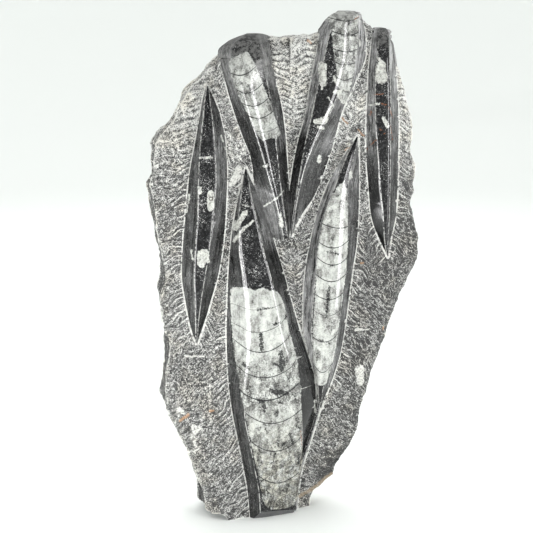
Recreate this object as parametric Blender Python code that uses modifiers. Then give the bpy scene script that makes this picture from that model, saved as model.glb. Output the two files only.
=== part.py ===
"""Orthoceras fossil plate: one dark limestone slab that stands on a sawn base.

Six straight shells stand out of the front in ground and polished relief, each a long pointed
form with two sloping sides and a flat crown. The ground between them is chiselled, and the
sides and the back are broken rock. Metres, +Z up, the relief faces -Y. The origin is on the
sawn base, under the middle of the slab.
"""

import math

import bmesh
import bpy
import numpy as np
from mathutils import Matrix, Vector, noise

MM = 0.001

# Driving dimensions, in millimetres.
SLAB_HEIGHT = 350.0
FRONT_AT_BASE = 24.0
FRONT_TAPER = 7.0
BACK_UPPER = 20.0
BACK_FOOT = 11.0
BACK_FOOT_REACH = 55.0
EDGE_HALF = 9.0
SHOULDER_LEFT = 28.0
SHOULDER_RIGHT = 16.0
SHOULDER_BACK = 30.0
BLANK_HALF = 12.0

# The front turns away to the right towards the base, as its front edge does on the floor.
TURN_SLOPE = 0.32
TURN_FROM_X = -43.0
TURN_TOP = 130.0

# How far the blank runs below the saw cut, and the broken corner left of the base.
BELOW_CUT = 12.0
CORNER_X = -64.0
SHOULDER_DEPTH = 90.0

# Broken rock: the size and the depth of the scooped chips, and of the slow swell under them.
CHIP_SIZES = ((30.0, 5.0), (12.0, 2.4))
CHISEL_SIZES = ((13.0, 2.0), (6.5, 1.8))
SWELL = (60.0, 2.2)
WARP = (24.0, 7.0)
SCOOP_MIDDLE = 0.45
BED_THICKNESS = 8.0
BED_STEP = 1.8
BED_WAVE = 45.0
BED_SLOPE_SHARE = 0.25

VOXEL = 3.0
ROCK_TRIANGLES = 8000

# The shells: how close their sections lie, how far their feet and roots run into the rock, and
# how little the crown bulges between its ridges.
STATION_STEP = 13.0
FOOT_DEPTH = 3.0
FOOT_STRETCH = 1.6
LEAST_RISE = 0.2
ROOT_DEPTH = 8.0
ROOT_SHARE = 0.6
CROWN_BULGE = 0.05

# The stone's outline seen from the front, x and z in millimetres, from the left end of the base
# up the left side, over the top and down the right side.
OUTLINE = [
    (-46, -BELOW_CUT), (-46, 0), (-49, 4), (-55, 3.5), (-61, 4.5), (-64, 8), (-64, 17), (-67.5, 28),
    (-71, 40), (-75, 53), (-79, 63), (-84.5, 71), (-87, 78), (-90.5, 88), (-91.5, 95),
    (-91, 106), (-89, 117), (-86.5, 131), (-89, 144), (-91, 156), (-89.5, 173), (-90.5, 185),
    (-94, 202), (-95.5, 222), (-97, 234), (-99, 242), (-96, 251), (-96.5, 259), (-95, 270),
    (-91, 278), (-83.5, 285), (-80.5, 289), (-77, 298), (-71.5, 307), (-63, 314),
    (-55, 322.5), (-46, 330), (-42, 336), (-34, 342.5), (-25, 345), (-18, 345), (-11, 344),
    (-5.5, 343), (3, 345), (10, 346), (15, 347), (22, 349), (28, 354), (35, 358.5), (44, 360),
    (52, 357.5), (59, 352), (65, 347), (71, 345), (75, 340), (77, 331), (80, 320),
    (84.5, 312), (87.5, 300), (90, 289), (92.5, 280), (92, 276), (92.5, 270), (90.5, 260),
    (93.5, 253), (94, 246), (93.5, 232), (92, 225), (97, 208), (98.5, 195), (99, 188),
    (96, 178), (91.5, 170), (84.5, 157.5), (79.5, 144.5), (74.5, 130), (73.5, 124),
    (67.5, 107.5), (64.5, 96), (60.5, 84), (56.5, 70), (54.5, 56.5), (49.5, 45), (43.5, 36),
    (38.5, 28), (36, 22), (30, 16.5), (21.5, 12), (19, 7), (19, -BELOW_CUT),
]

# Each shell by stations up its length, in millimetres: height z, left foot, left ridge, right
# ridge and right foot in x, and how far the ridges stand out of the ground's plane. A shell
# that runs out over the top edge has stations that turn back there.
SHELLS = {
    "left": [
        (131, -66.8, -66.6, -66.2, -66.0, 0.3), (140, -70.2, -67.1, -66.5, -62.5, 3.0),
        (160, -73.9, -67.6, -64.8, -56.6, 6.0), (180, -76.0, -68.3, -61.7, -51.1, 7.5),
        (200, -75.2, -67.3, -58.4, -47.6, 8.0), (220, -73.5, -65.7, -56.1, -45.4, 8.0),
        (250, -70.1, -64.4, -53.2, -44.3, 8.0), (270, -66.2, -63.0, -53.9, -45.2, 7.5),
        (290, -62.3, -60.4, -55.3, -48.7, 5.5), (300, -60.5, -59.1, -56.3, -51.9, 3.5),
        (310, -57.4, -57.1, -56.7, -56.4, 0.3),
    ],
    "top_left": [
        (203, -12.0, -5.0, -3.0, -1.0, 1.0), (210, -15.0, -6.5, -4.0, -0.4, 2.2),
        (220, -18.5, -8.5, -5.5, -0.4, 3.5), (230, -22.0, -11.0, -7.0, -0.6, 5.0),
        (240, -25.5, -14.0, -8.2, -1.2, 6.2), (250, -26.0, -17.0, -9.5, -1.9, 7.2),
        (262, -28.0, -20.5, -10.6, -2.8, 8.0), (275, -33.0, -24.5, -12.0, -3.6, 8.7),
        (290, -38.4, -29.5, -13.6, -5.4, 9.0), (310, -44.2, -34.9, -17.0, -9.9, 9.0),
        (325, -47.0, -38.5, -20.5, -14.3, 8.3), (333, -46.5, -39.0, -22.5, -15.8, 6.0),
        (338.5, -40.5, -35.5, -23.5, -15.6, 1.0), (342, -33.5, -30.0, -23.5, -16.3, -6.0),
        (344, -26.0, -25.0, -22.0, -19.0, -14.0),
    ],
    "main": [
        (-8, -28.0, -21.5, 3.0, 4.5, 9.0), (20, -30.5, -23.1, 5.0, 7.0, 10.0),
        (40, -34.1, -26.7, 6.8, 10.5, 11.0), (60, -38.0, -30.5, 6.8, 15.5, 11.5),
        (80, -41.8, -34.3, 5.6, 19.5, 12.0), (100, -44.1, -35.0, 2.7, 18.0, 12.0),
        (120, -45.3, -32.4, -2.7, 12.4, 12.0), (140, -45.9, -30.9, -8.3, 6.0, 11.5),
        (160, -45.1, -31.7, -11.9, 0.1, 11.0), (180, -43.9, -34.5, -16.4, -5.3, 10.0),
        (200, -42.2, -37.0, -21.5, -11.3, 8.5), (220, -39.3, -36.5, -25.6, -17.4, 6.5),
        (240, -35.0, -34.1, -29.5, -24.5, 3.5), (254, -31.5, -31.3, -31.0, -30.7, 0.3),
    ],
    "top_right": [
        (205, -0.8, 0.6, 0.8, 1.5, 0.3), (215, -1.4, 1.0, 1.4, 6.0, 2.0),
        (230, -1.2, 2.8, 3.2, 15.0, 4.5), (250, 1.2, 5.8, 7.2, 23.3, 7.0),
        (270, 5.0, 9.1, 14.4, 30.5, 8.5), (290, 10.6, 13.7, 25.3, 36.0, 9.0),
        (310, 13.9, 17.9, 32.7, 44.9, 9.0), (330, 17.9, 22.5, 36.5, 52.4, 9.0),
        (340, 20.4, 24.8, 38.4, 52.5, 7.5), (347, 23.5, 27.5, 39.5, 52.0, 4.5),
        (352, 27.0, 30.5, 40.5, 50.5, -0.5), (355.5, 31.5, 34.5, 41.5, 48.0, -7.5),
        (357.5, 37.0, 38.5, 42.5, 44.5, -15.0),
    ],
    "right": [
        (187.5, 69.6, 69.9, 70.2, 70.5, 0.3), (200, 63.6, 67.0, 68.5, 71.9, 3.5),
        (220, 57.2, 64.8, 68.7, 75.4, 6.0), (240, 55.1, 62.3, 68.7, 76.5, 7.0),
        (260, 53.4, 60.6, 68.7, 76.8, 7.5), (280, 53.1, 58.9, 68.4, 76.7, 7.5),
        (300, 53.7, 58.3, 68.2, 75.8, 7.5), (320, 54.8, 58.8, 67.6, 73.1, 7.0),
        (331, 57.0, 60.3, 66.0, 71.0, 5.0), (338, 60.0, 61.8, 65.8, 69.3, 1.0),
        (344, 63.2, 64.0, 65.6, 66.8, -6.0),
    ],
    "middle": [
        (77, 23.2, 23.4, 23.8, 24.1, 0.3), (90, 20.5, 21.0, 22.8, 27.7, 3.5),
        (100, 18.5, 19.8, 23.8, 30.8, 5.0), (120, 13.5, 15.8, 27.0, 35.8, 7.5),
        (140, 9.0, 13.7, 29.8, 39.2, 9.0), (160, 9.1, 14.7, 32.3, 41.9, 9.5),
        (180, 10.6, 16.5, 34.1, 44.5, 9.5), (200, 14.1, 18.6, 35.3, 47.2, 9.0),
        (220, 18.8, 23.3, 36.7, 48.2, 8.5), (240, 26.3, 30.3, 38.4, 48.5, 7.5),
        (260, 37.5, 39.0, 43.3, 48.3, 4.5), (274.6, 47.0, 47.3, 47.7, 48.0, 0.3),
    ],
    "lower_bevel": [
        (-8, 2.0, 5.0, 5.8, 8.0, 3.0), (10, 3.0, 5.8, 6.6, 8.8, 3.0),
        (30, 5.5, 8.2, 9.2, 11.4, 3.0), (50, 10.0, 13.2, 14.4, 16.8, 3.0),
        (70, 15.0, 18.6, 19.8, 21.8, 2.5), (86, 19.5, 21.8, 23.0, 25.5, 1.0),
    ],
}

# The bevel ground along the front of the base: its lower edge on the floor, and its lean.
BASE_EDGE = [(-60, -24.0), (-43.5, -22.0), (-20, -19.0), (3, -13.5), (19, -3.5), (26, 3.0)]
BASE_BEVEL_LEAN = 40.0
BASE_BEVEL_HEIGHT = 30.0


def remove_everything():
    for old in list(bpy.data.objects):
        bpy.data.objects.remove(old, do_unlink=True)


def new_collection(name, hidden):
    made = bpy.data.collections.new(name)
    made.hide_render = hidden
    bpy.context.scene.collection.children.link(made)
    return made


def smooth_step(value):
    t = np.clip(value, 0.0, 1.0)
    return t * t * (3.0 - 2.0 * t)


def quarter_round(value):
    """0 at the edge, 1 from the shoulder inwards, along a quarter of a circle."""
    t = np.clip(value, 0.0, 1.0)
    return np.sqrt(1.0 - (1.0 - t) ** 2)


def shoulder_outline():
    """The outline that the shoulders are measured from: the broken corner and the saw cut
    are left out of it, because the stone keeps its thickness there."""
    upper = [p for p in OUTLINE if p[1] >= 17 or p[0] > 0]
    return [(CORNER_X, -SHOULDER_DEPTH)] + upper[:-1] + [(19.0, -SHOULDER_DEPTH)]


def edge_distance(x, z, outline):
    """Distance of each point from a closed outline, in millimetres."""
    corners = np.array(outline, float)
    ends = np.roll(corners, -1, axis=0)
    best = np.full(len(x), 1e9)
    for (ax, az), (bx, bz) in zip(corners, ends):
        dx, dz = bx - ax, bz - az
        along = np.clip(((x - ax) * dx + (z - az) * dz) / (dx * dx + dz * dz), 0.0, 1.0)
        best = np.minimum(best, np.hypot(x - ax - along * dx, z - az - along * dz))
    return best


def ground_plane(x, z):
    """How far the plane of the relief's ground lies in front of the middle, in millimetres."""
    lean = FRONT_AT_BASE - FRONT_TAPER * z / SLAB_HEIGHT
    turn = 1.0 - smooth_step(z / TURN_TOP)
    return lean - TURN_SLOPE * np.maximum(x - TURN_FROM_X, 0.0) * turn


def front_level(x, z):
    """The smooth front of the rock, rounded down towards its edges."""
    plane = ground_plane(x, z)
    shoulder = np.where(x < 0, SHOULDER_LEFT, SHOULDER_RIGHT)
    edge = np.minimum(EDGE_HALF, plane)
    rise = quarter_round(edge_distance(x, z, shoulder_outline()) / shoulder)
    return edge + (plane - edge) * rise


def back_level(x, z):
    """The smooth back of the rock, thicker towards the base."""
    plane = BACK_UPPER + BACK_FOOT * np.exp(-np.maximum(z, 0.0) / BACK_FOOT_REACH)
    rise = quarter_round(edge_distance(x, z, shoulder_outline()) / SHOULDER_BACK)
    return EDGE_HALF + (plane - EDGE_HALF) * rise


def object_from(mesh, name, collection):
    made = bpy.data.objects.new(name, mesh)
    collection.objects.link(made)
    return made


def evaluated_mesh(obj):
    graph = bpy.context.evaluated_depsgraph_get()
    return bpy.data.meshes.new_from_object(obj.evaluated_get(graph))


def weld(mesh):
    work = bmesh.new()
    work.from_mesh(mesh)
    bmesh.ops.remove_doubles(work, verts=work.verts, dist=1e-5)
    bmesh.ops.recalc_face_normals(work, faces=work.faces)
    work.to_mesh(mesh)
    work.free()


def even_faces(mesh, cutters):
    """The same closed surface as an even mesh of small faces that nowhere cross."""
    coarse = object_from(mesh, "coarse", cutters)
    remesh = coarse.modifiers.new("even_faces", "REMESH")
    remesh.mode = "VOXEL"
    remesh.voxel_size = VOXEL * MM
    even = evaluated_mesh(coarse)
    bpy.data.objects.remove(coarse, do_unlink=True)
    return even


def slab_blank(cutters):
    """The outline as an extruded curve, made an even mesh of small faces."""
    curve = bpy.data.curves.new("slab_outline", "CURVE")
    curve.dimensions = "2D"
    curve.fill_mode = "BOTH"
    curve.extrude = BLANK_HALF * MM
    spline = curve.splines.new("POLY")
    spline.points.add(len(OUTLINE) - 1)
    spline.use_cyclic_u = True
    for point, (x, z) in zip(spline.points, OUTLINE):
        point.co = (x * MM, z * MM, 0.0, 1.0)
    guide = object_from(curve, "slab_outline", cutters)
    guide.rotation_euler = (math.pi / 2, 0.0, 0.0)
    bpy.context.view_layer.update()
    mesh = evaluated_mesh(guide)
    mesh.transform(guide.matrix_world)
    bpy.data.objects.remove(guide, do_unlink=True)
    weld(mesh)
    return even_faces(mesh, cutters)


def read_points(mesh):
    values = np.empty(len(mesh.vertices) * 3)
    mesh.vertices.foreach_get("co", values)
    return values.reshape(-1, 3)


def read_normals(mesh):
    values = np.empty(len(mesh.vertices) * 3)
    mesh.vertices.foreach_get("normal", values)
    return values.reshape(-1, 3)


def write_points(mesh, points):
    mesh.vertices.foreach_set("co", points.ravel())
    mesh.update()


def drift(spot):
    """A smooth random shift of a place, each way between -1 and 1."""
    return Vector([noise.noise(spot + Vector((7.3 * axis, 0.0, 2.1))) for axis in range(3)])


def scoops(place, layers, shift):
    """Chips knocked off a surface: round hollows that meet in sharp ridges, in millimetres."""
    depth = 0.0
    for number, (size, reach) in enumerate(layers):
        spot = place / size + Vector((shift, 3.7 * number, 1.3))
        near = noise.voronoi(spot)[0][0]
        depth += reach * (min(near, 1.0) ** 2 - SCOOP_MIDDLE)
    return depth


def beds(place):
    """The stone's thin beds, parallel to its front, which break off at different depths."""
    layer = place.y / BED_THICKNESS + 0.7 * noise.noise(place / BED_WAVE)
    lower = math.floor(layer)
    blend = float(smooth_step((layer - lower - 1.0 + BED_SLOPE_SHARE) / BED_SLOPE_SHARE))
    here = noise.cell(Vector((lower * 3.1, 0.5, 0.5)))
    after = noise.cell(Vector(((lower + 1) * 3.1, 0.5, 0.5)))
    return BED_STEP * (2.0 * (here + (after - here) * blend) - 1.0)


def round_the_blank(mesh):
    """Gives the flat blank its rounded front and back."""
    points = read_points(mesh) / MM
    x, y, z = points.T
    share = y / BLANK_HALF
    y_new = np.where(share < 0, share * front_level(x, z), share * back_level(x, z))
    points[:, 1] = y_new
    write_points(mesh, points * MM)


def break_the_surface(mesh):
    """Moves each point along its normal: chips on the back and the sides, chisel work in front."""
    points = read_points(mesh) / MM
    normals = read_normals(mesh)
    moved = points.copy()
    for i, (point, normal) in enumerate(zip(points, normals)):
        place = Vector(point)
        warped = place + WARP[1] * drift(place / WARP[0])
        facing = float(smooth_step((-normal[1] - 0.35) / 0.4))
        side = 1.0 - abs(normal[1])
        rough = scoops(warped, CHIP_SIZES, 0.4) + side * beds(place)
        chiselled = scoops(warped, CHISEL_SIZES, 8.6)
        swell = SWELL[1] * noise.noise(place / SWELL[0]) * (1.0 - 0.7 * facing)
        kept = float(smooth_step((place.z + 0.7 * BELOW_CUT) / (0.7 * BELOW_CUT)))
        moved[i] += normal * kept * (rough * (1.0 - facing) + chiselled * facing + swell)
    write_points(mesh, moved * MM)


def rock_body(collection, cutters):
    mesh = slab_blank(cutters)
    round_the_blank(mesh)
    break_the_surface(mesh)
    mesh = even_faces(mesh, cutters)
    full = object_from(mesh, "rock_full", cutters)
    fewer = full.modifiers.new("fewer_faces", "DECIMATE")
    fewer.ratio = ROCK_TRIANGLES / (2.0 * len(mesh.polygons))
    fewer.use_collapse_triangulate = True
    rock = object_from(evaluated_mesh(full), "fossil_plate", collection)
    bpy.data.objects.remove(full, do_unlink=True)
    return rock


def station_rows(stations):
    """The stations with more of them in between, so that the long curves stay round."""
    table = np.array(stations, float)
    rows = []
    for lower, upper in zip(table[:-1], table[1:]):
        count = max(1, round((upper[0] - lower[0]) / STATION_STEP))
        rows += [lower + (upper - lower) * k / count for k in range(count)]
    return rows + [table[-1]]


def shell_section(row):
    """The ring of points round one station: foot, ridge, crown, ridge, foot and the root."""
    z, left, ridge_left, ridge_right, right, height = row
    feet_x = np.array([left, right])
    ridges_x = np.array([ridge_left, ridge_right])
    heights = np.array([z, z])
    ridges_out = ground_plane(ridges_x, heights) + height
    feet_out = np.minimum(front_level(feet_x, heights), ridges_out - LEAST_RISE)
    ring = []
    for side in (0, 1):
        run = feet_x[side] - ridges_x[side]
        drop = ridges_out[side] - feet_out[side]
        past = 1.0 + FOOT_DEPTH / drop
        foot = (ridges_x[side] + run * min(past, FOOT_STRETCH), ridges_out[side] - drop * past)
        ring.append((foot, (ridges_x[side], ridges_out[side])))
    (foot_l, top_l), (foot_r, top_r) = ring
    root = min(foot_l[1], foot_r[1]) - ROOT_DEPTH
    middle = (foot_l[0] + foot_r[0]) / 2
    root_half = ROOT_SHARE * (foot_r[0] - foot_l[0]) / 2
    bulge = CROWN_BULGE * (top_r[0] - top_l[0])
    crown = ((top_l[0] + top_r[0]) / 2, (top_l[1] + top_r[1]) / 2 + bulge)
    roots = [(middle + root_half, root), (middle - root_half, root)]
    around = [foot_l, top_l, crown, top_r, foot_r] + roots
    return [Vector((px * MM, -out * MM, z * MM)) for px, out in around]


def shell_body(name, stations, cutters):
    """One shell: its lowest section, extruded from station to station."""
    work = bmesh.new()
    rows = station_rows(stations)
    first = [work.verts.new(co) for co in shell_section(rows[0])]
    cap = work.faces.new(first)
    for row in rows[1:]:
        made = bmesh.ops.extrude_face_region(work, geom=[cap])
        new_cap = next(f for f in made["geom"] if isinstance(f, bmesh.types.BMFace))
        if cap.is_valid and row is not rows[1]:
            bmesh.ops.delete(work, geom=[cap], context="FACES_ONLY")
        cap = new_cap
        start = min(range(7), key=lambda k: (cap.verts[k].co - first[0].co).length)
        ordered = [cap.verts[(start + k) % 7] for k in range(7)]
        for vert, co in zip(ordered, shell_section(row)):
            vert.co = co
        first = ordered
    bmesh.ops.recalc_face_normals(work, faces=work.faces)
    mesh = bpy.data.meshes.new(name)
    work.to_mesh(mesh)
    work.free()
    made = object_from(mesh, name, cutters)
    made.display_type = "WIRE"
    return made


def block(name, size, matrix, cutters):
    work = bmesh.new()
    bmesh.ops.create_cube(work, size=1.0, matrix=matrix @ Matrix.Diagonal((*size, 1.0)))
    mesh = bpy.data.meshes.new(name)
    work.to_mesh(mesh)
    work.free()
    made = object_from(mesh, name, cutters)
    made.display_type = "WIRE"
    return made


def base_cutters(cutters):
    """The saw cut along the floor, and the bevel ground along the front of the base."""
    reach = 0.4
    under = Matrix.Translation((0.0, 0.0, -reach / 4))
    saw = block("saw_cut", (reach, reach, reach / 2), under, cutters)
    edge = [Vector((x * MM, y * MM, 0.0)) for x, y in BASE_EDGE]
    far = [Vector((edge[-1].x, -reach / 2, 0.0)), Vector((edge[0].x, -reach / 2, 0.0))]
    height = BASE_BEVEL_HEIGHT * MM
    rise = Vector((0.0, -math.tan(math.radians(BASE_BEVEL_LEAN)) * height, height))
    work = bmesh.new()
    floor = work.faces.new([work.verts.new(co) for co in edge + far])
    made = bmesh.ops.extrude_face_region(work, geom=[floor], use_keep_orig=True)
    lifted = [g for g in made["geom"] if isinstance(g, bmesh.types.BMVert)]
    bmesh.ops.translate(work, verts=lifted, vec=rise)
    bmesh.ops.recalc_face_normals(work, faces=work.faces)
    mesh = bpy.data.meshes.new("base_bevel")
    work.to_mesh(mesh)
    work.free()
    bevel = object_from(mesh, "base_bevel", cutters)
    bevel.display_type = "WIRE"
    return saw, bevel


def join(target, other, operation):
    step = target.modifiers.new(other.name, "BOOLEAN")
    step.operation = operation
    step.solver = "EXACT"
    step.object = other


def limestone():
    made = bpy.data.materials.new("dark_limestone")
    made.use_nodes = True
    shader = made.node_tree.nodes["Principled BSDF"]
    shader.inputs["Base Color"].default_value = (0.16, 0.16, 0.155, 1.0)
    shader.inputs["Roughness"].default_value = 0.6
    shader.inputs["Metallic"].default_value = 0.0
    return made


def build():
    remove_everything()
    parts = new_collection("orthoceras_fossil_plate", hidden=False)
    cutters = new_collection("cutters", hidden=True)
    rock = rock_body(parts, cutters)
    for name, stations in SHELLS.items():
        join(rock, shell_body("shell_" + name, stations, cutters), "UNION")
    for cutter in base_cutters(cutters):
        join(rock, cutter, "DIFFERENCE")
    rock.data.materials.clear()
    rock.data.materials.append(limestone())


build()
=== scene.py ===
# %% [markdown]
# # An orthoceras fossil plate in dark limestone
# A slab of old sea floor holds the straight shells of swimming animals. The maker breaks the
# slab out of the bed, grinds six of the shells free as raised ridges and polishes them,
# chisels the rock between them, and saws the foot flat so that the plate stands upright.
# This lesson builds that stone. The camera and the light come first, then the rock, the
# shells, the cuts, and last the rough and the polished finish.

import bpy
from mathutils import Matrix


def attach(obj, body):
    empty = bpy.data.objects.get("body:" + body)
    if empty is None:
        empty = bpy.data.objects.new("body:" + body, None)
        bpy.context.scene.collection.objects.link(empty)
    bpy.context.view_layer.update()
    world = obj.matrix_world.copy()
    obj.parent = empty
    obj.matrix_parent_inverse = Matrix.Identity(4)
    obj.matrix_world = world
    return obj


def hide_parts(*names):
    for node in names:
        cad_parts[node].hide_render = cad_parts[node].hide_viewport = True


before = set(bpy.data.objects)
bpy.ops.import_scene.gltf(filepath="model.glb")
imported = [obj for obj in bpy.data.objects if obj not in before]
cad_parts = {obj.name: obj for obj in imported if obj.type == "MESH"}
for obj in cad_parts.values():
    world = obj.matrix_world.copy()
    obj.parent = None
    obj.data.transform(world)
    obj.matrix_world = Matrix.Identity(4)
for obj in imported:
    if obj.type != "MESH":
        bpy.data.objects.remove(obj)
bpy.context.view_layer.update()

import math

import bmesh
import bpy
import numpy as np
from mathutils import Vector, noise

MM = 0.001

# %% [markdown]
# ## The camera
# The photograph was taken from a little to the left and a little above, with a long lens.
# The camera is placed round a point in the middle of the stone, so that the angle, the
# height and the distance each stay a value that can be read.

# %% Camera
AIM = Vector((-0.0135, 0.0, 0.180))
CAMERA_DISTANCE = 1.10
CAMERA_AZIMUTH = math.radians(-10.0)
CAMERA_ELEVATION = math.radians(12.0)
HALF_VIEW = 0.189
PICTURE_SIDE = 533.0

camera_back = Vector((
    math.sin(CAMERA_AZIMUTH) * math.cos(CAMERA_ELEVATION),
    -math.cos(CAMERA_AZIMUTH) * math.cos(CAMERA_ELEVATION),
    math.sin(CAMERA_ELEVATION),
))
eye = AIM + CAMERA_DISTANCE * camera_back
camera_turn = (-camera_back).to_track_quat("-Z", "Y")
bpy.ops.object.camera_add(location=eye, rotation=camera_turn.to_euler())
camera = bpy.context.object
camera.data.sensor_width = 36.0
camera.data.lens = camera.data.sensor_width / 2 * CAMERA_DISTANCE / HALF_VIEW
bpy.context.scene.camera = camera
print("camera at", [round(c, 3) for c in eye], "lens", round(camera.data.lens, 1))

# %% [markdown]
# ## The table
# The stone stands on a white sheet that curves up behind it, so that the ground fades into
# the background with no edge. A disc gives the floor, and its rim is pulled outwards and up
# along a quarter of a circle. It goes all the way round, so every view has it behind.

# %% White sheet
FLOOR_RADIUS = 1.45
COVE_RADIUS = 0.60
COVE_STEPS = 12
FLOOR_SIDES = 96


def pick(*objects):
    """Selects these objects alone, and makes the first one active."""
    bpy.ops.object.select_all(action="DESELECT")
    for obj in objects:
        obj.select_set(True)
    bpy.context.view_layer.objects.active = objects[0]


def principled(name, colour, roughness):
    """A new material with one Principled shader."""
    made = bpy.data.materials.new(name)
    made.use_nodes = True
    shader = made.node_tree.nodes["Principled BSDF"]
    shader.inputs["Base Color"].default_value = (*colour, 1.0)
    shader.inputs["Roughness"].default_value = roughness
    return made


bpy.ops.object.select_all(action="DESELECT")
bpy.ops.mesh.primitive_circle_add(vertices=FLOOR_SIDES, radius=FLOOR_RADIUS, fill_type="NGON")
sheet = bpy.context.object
sheet.name = "white_sheet"
bpy.ops.object.mode_set(mode="EDIT")
bpy.ops.mesh.select_mode(type="EDGE")
bpy.ops.mesh.select_all(action="SELECT")
for step in range(COVE_STEPS):
    bpy.ops.mesh.extrude_edges_move()
    turn = (step + 0.5) / COVE_STEPS * math.pi / 2
    reach = COVE_RADIUS * math.pi / 2 / COVE_STEPS
    inner = FLOOR_RADIUS + COVE_RADIUS * math.sin(step / COVE_STEPS * math.pi / 2)
    grow = 1.0 + reach * math.cos(turn) / inner
    bpy.ops.transform.resize(value=(grow, grow, 1.0), center_override=(0.0, 0.0, 0.0))
    bpy.ops.transform.translate(value=(0.0, 0.0, reach * math.sin(turn)))
bpy.ops.object.mode_set(mode="OBJECT")
bpy.ops.object.shade_smooth_by_angle(angle=math.radians(40.0))
sheet.data.materials.append(principled("white_paper", (0.88, 0.905, 0.885), 0.9))
print("white sheet:", len(sheet.data.polygons), "faces")

# %% [markdown]
# ## The light
# The photograph has the light of a white tent: soft from above and from both sides, with a
# few brighter panels. The panels matter more than their share of the light, because the
# polished ridges mirror them as thin white lines.

# %% Light panels and sky
PANELS = {
    "left_front": {"at": (-0.33, -0.30, 0.11), "size": (0.12, 0.21), "power": 1.5, "glint": 1.5},
    "right_front": {"at": (0.373, -0.532, 0.195), "size": (0.10, 0.38), "power": 2.8, "glint": 2.8},
    "right_side": {"at": (0.61, -0.22, 0.17), "size": (0.04, 0.30), "power": 0.75, "glint": 0.7},
    "left_wall": {"at": (-0.95, 0.05, 0.45), "size": (0.8, 0.9), "power": 1.7, "mirrored": False},
    "right_wall": {"at": (0.95, 0.15, 0.45), "size": (0.8, 0.9), "power": 1.9, "mirrored": False},
    "above": {"at": (0.0, 0.25, 1.5), "size": (1.8, 1.4), "power": 15.0, "mirrored": False},
    "above_dim": {"at": (0.0, 0.25, 1.5), "size": (1.8, 1.4), "power": 6.0},
    "behind": {"at": (0.1, 1.1, 1.3), "size": (1.8, 0.8), "power": 7.0, "mirrored": False},
    "backdrop": {"at": (0.0, 0.7, 1.9), "size": (1.8, 0.5), "power": 11.5, "aim": (0.0, 2.0, 0.2),
                 "mirrored": False},
}
LIGHT_AIM = (0.0, 0.0, 0.19)
SKY_COLOUR = (0.90, 0.925, 0.905)
SKY_STRENGTH = 0.32


def add_panel(name, panel, power):
    """A rectangular lamp that the camera doesn't see."""
    place = Vector(panel["at"])
    turn = (Vector(panel.get("aim", LIGHT_AIM)) - place).to_track_quat("-Z", "Y")
    bpy.ops.object.light_add(type="AREA", location=place, rotation=turn.to_euler())
    lamp = bpy.context.object
    lamp.name = name
    lamp.data.shape = "RECTANGLE"
    lamp.data.size, lamp.data.size_y = panel["size"]
    lamp.data.energy = power
    lamp.visible_camera = False
    radiance = power / (panel["size"][0] * panel["size"][1] * math.pi)
    print(name, "radiance", round(radiance, 1))
    return lamp


# "mirrored" False keeps a panel out of the polish; "glint" is power that only the polish sees.
for name, panel in PANELS.items():
    lamp = add_panel("panel_" + name, panel, panel["power"])
    lamp.visible_glossy = panel.get("mirrored", True)
    if "glint" in panel:
        glint = add_panel("glint_" + name, panel, panel["glint"])
        glint.visible_diffuse = False

sky = bpy.data.worlds.new("pale_room")
sky.use_nodes = True
sky.node_tree.nodes["Background"].inputs["Color"].default_value = (*SKY_COLOUR, 1.0)
sky.node_tree.nodes["Background"].inputs["Strength"].default_value = SKY_STRENGTH
scene = bpy.context.scene
scene.world = sky
scene.view_settings.view_transform = "Standard"

# %% [markdown]
# ## The slab's sizes
# The outline was read from the photograph and turned into millimetres. The front is a plane
# that leans back a little towards the top and turns away on the right near the foot. Its
# edges are rounded down to a side about thirteen millimetres thick, where the stone broke.

# %% Sizes of the slab, in millimetres
SLAB_HEIGHT = 350.0
FRONT_AT_BASE = 24.0
FRONT_TAPER = 7.0
BACK_UPPER = 20.0
BACK_FOOT = 11.0
BACK_FOOT_REACH = 55.0
EDGE_HALF = 6.5
SHOULDER_LEFT = 28.0
SHOULDER_RIGHT = 16.0
SHOULDER_BACK = 30.0
BLANK_HALF = 7.0
TURN_SLOPE = 0.32
TURN_FROM_X = -43.0
TURN_TOP = 130.0
BELOW_CUT = 12.0
CORNER_X = -64.0
SHOULDER_DEPTH = 90.0

OUTLINE = [
    (-46, -BELOW_CUT), (-46, 0), (-49, 4), (-55, 3.5), (-61, 4.5), (-64, 8), (-64, 17), (-67.5, 28),
    (-71, 40), (-75, 53), (-79, 63), (-84.5, 71), (-87, 78), (-90.5, 88), (-91.5, 95),
    (-91, 106), (-89, 117), (-86.5, 131), (-89, 144), (-91, 156), (-89.5, 173), (-90.5, 185),
    (-94, 202), (-95.5, 222), (-97, 234), (-99, 242), (-96, 251), (-96.5, 259), (-95, 270),
    (-91, 278), (-83.5, 285), (-80.5, 289), (-77, 298), (-71.5, 307), (-63, 314),
    (-55, 322.5), (-46, 329), (-42, 333), (-34, 338), (-25, 341), (-18, 342), (-11, 343.5),
    (-5.5, 343), (3, 345), (10, 346), (15, 345), (22, 346), (28, 350), (35, 353.5), (44, 355),
    (52, 353.5), (59, 349), (65, 344), (71, 341), (74, 337), (76, 330), (79, 320),
    (83, 312), (85.5, 300), (87.5, 289), (89.5, 280), (89, 276), (89, 270), (87.5, 260),
    (90, 253), (90.5, 246), (91, 232), (90, 225), (94.5, 208), (96.5, 195), (96.5, 188),
    (93, 178), (88, 170), (81.5, 157.5), (76.5, 144.5), (72, 130), (71, 124),
    (65.5, 107.5), (62, 96), (58.5, 84), (55, 70), (53.5, 56.5), (49.5, 45), (43.5, 36),
    (38.5, 28), (36, 22), (30, 16.5), (21.5, 12), (19, 7), (19, -BELOW_CUT),
]


def smooth_step(value):
    t = np.clip(value, 0.0, 1.0)
    return t * t * (3.0 - 2.0 * t)


def quarter_round(value):
    """0 at the edge, 1 from the shoulder inwards, along a quarter of a circle."""
    t = np.clip(value, 0.0, 1.0)
    return np.sqrt(1.0 - (1.0 - t) ** 2)


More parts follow.
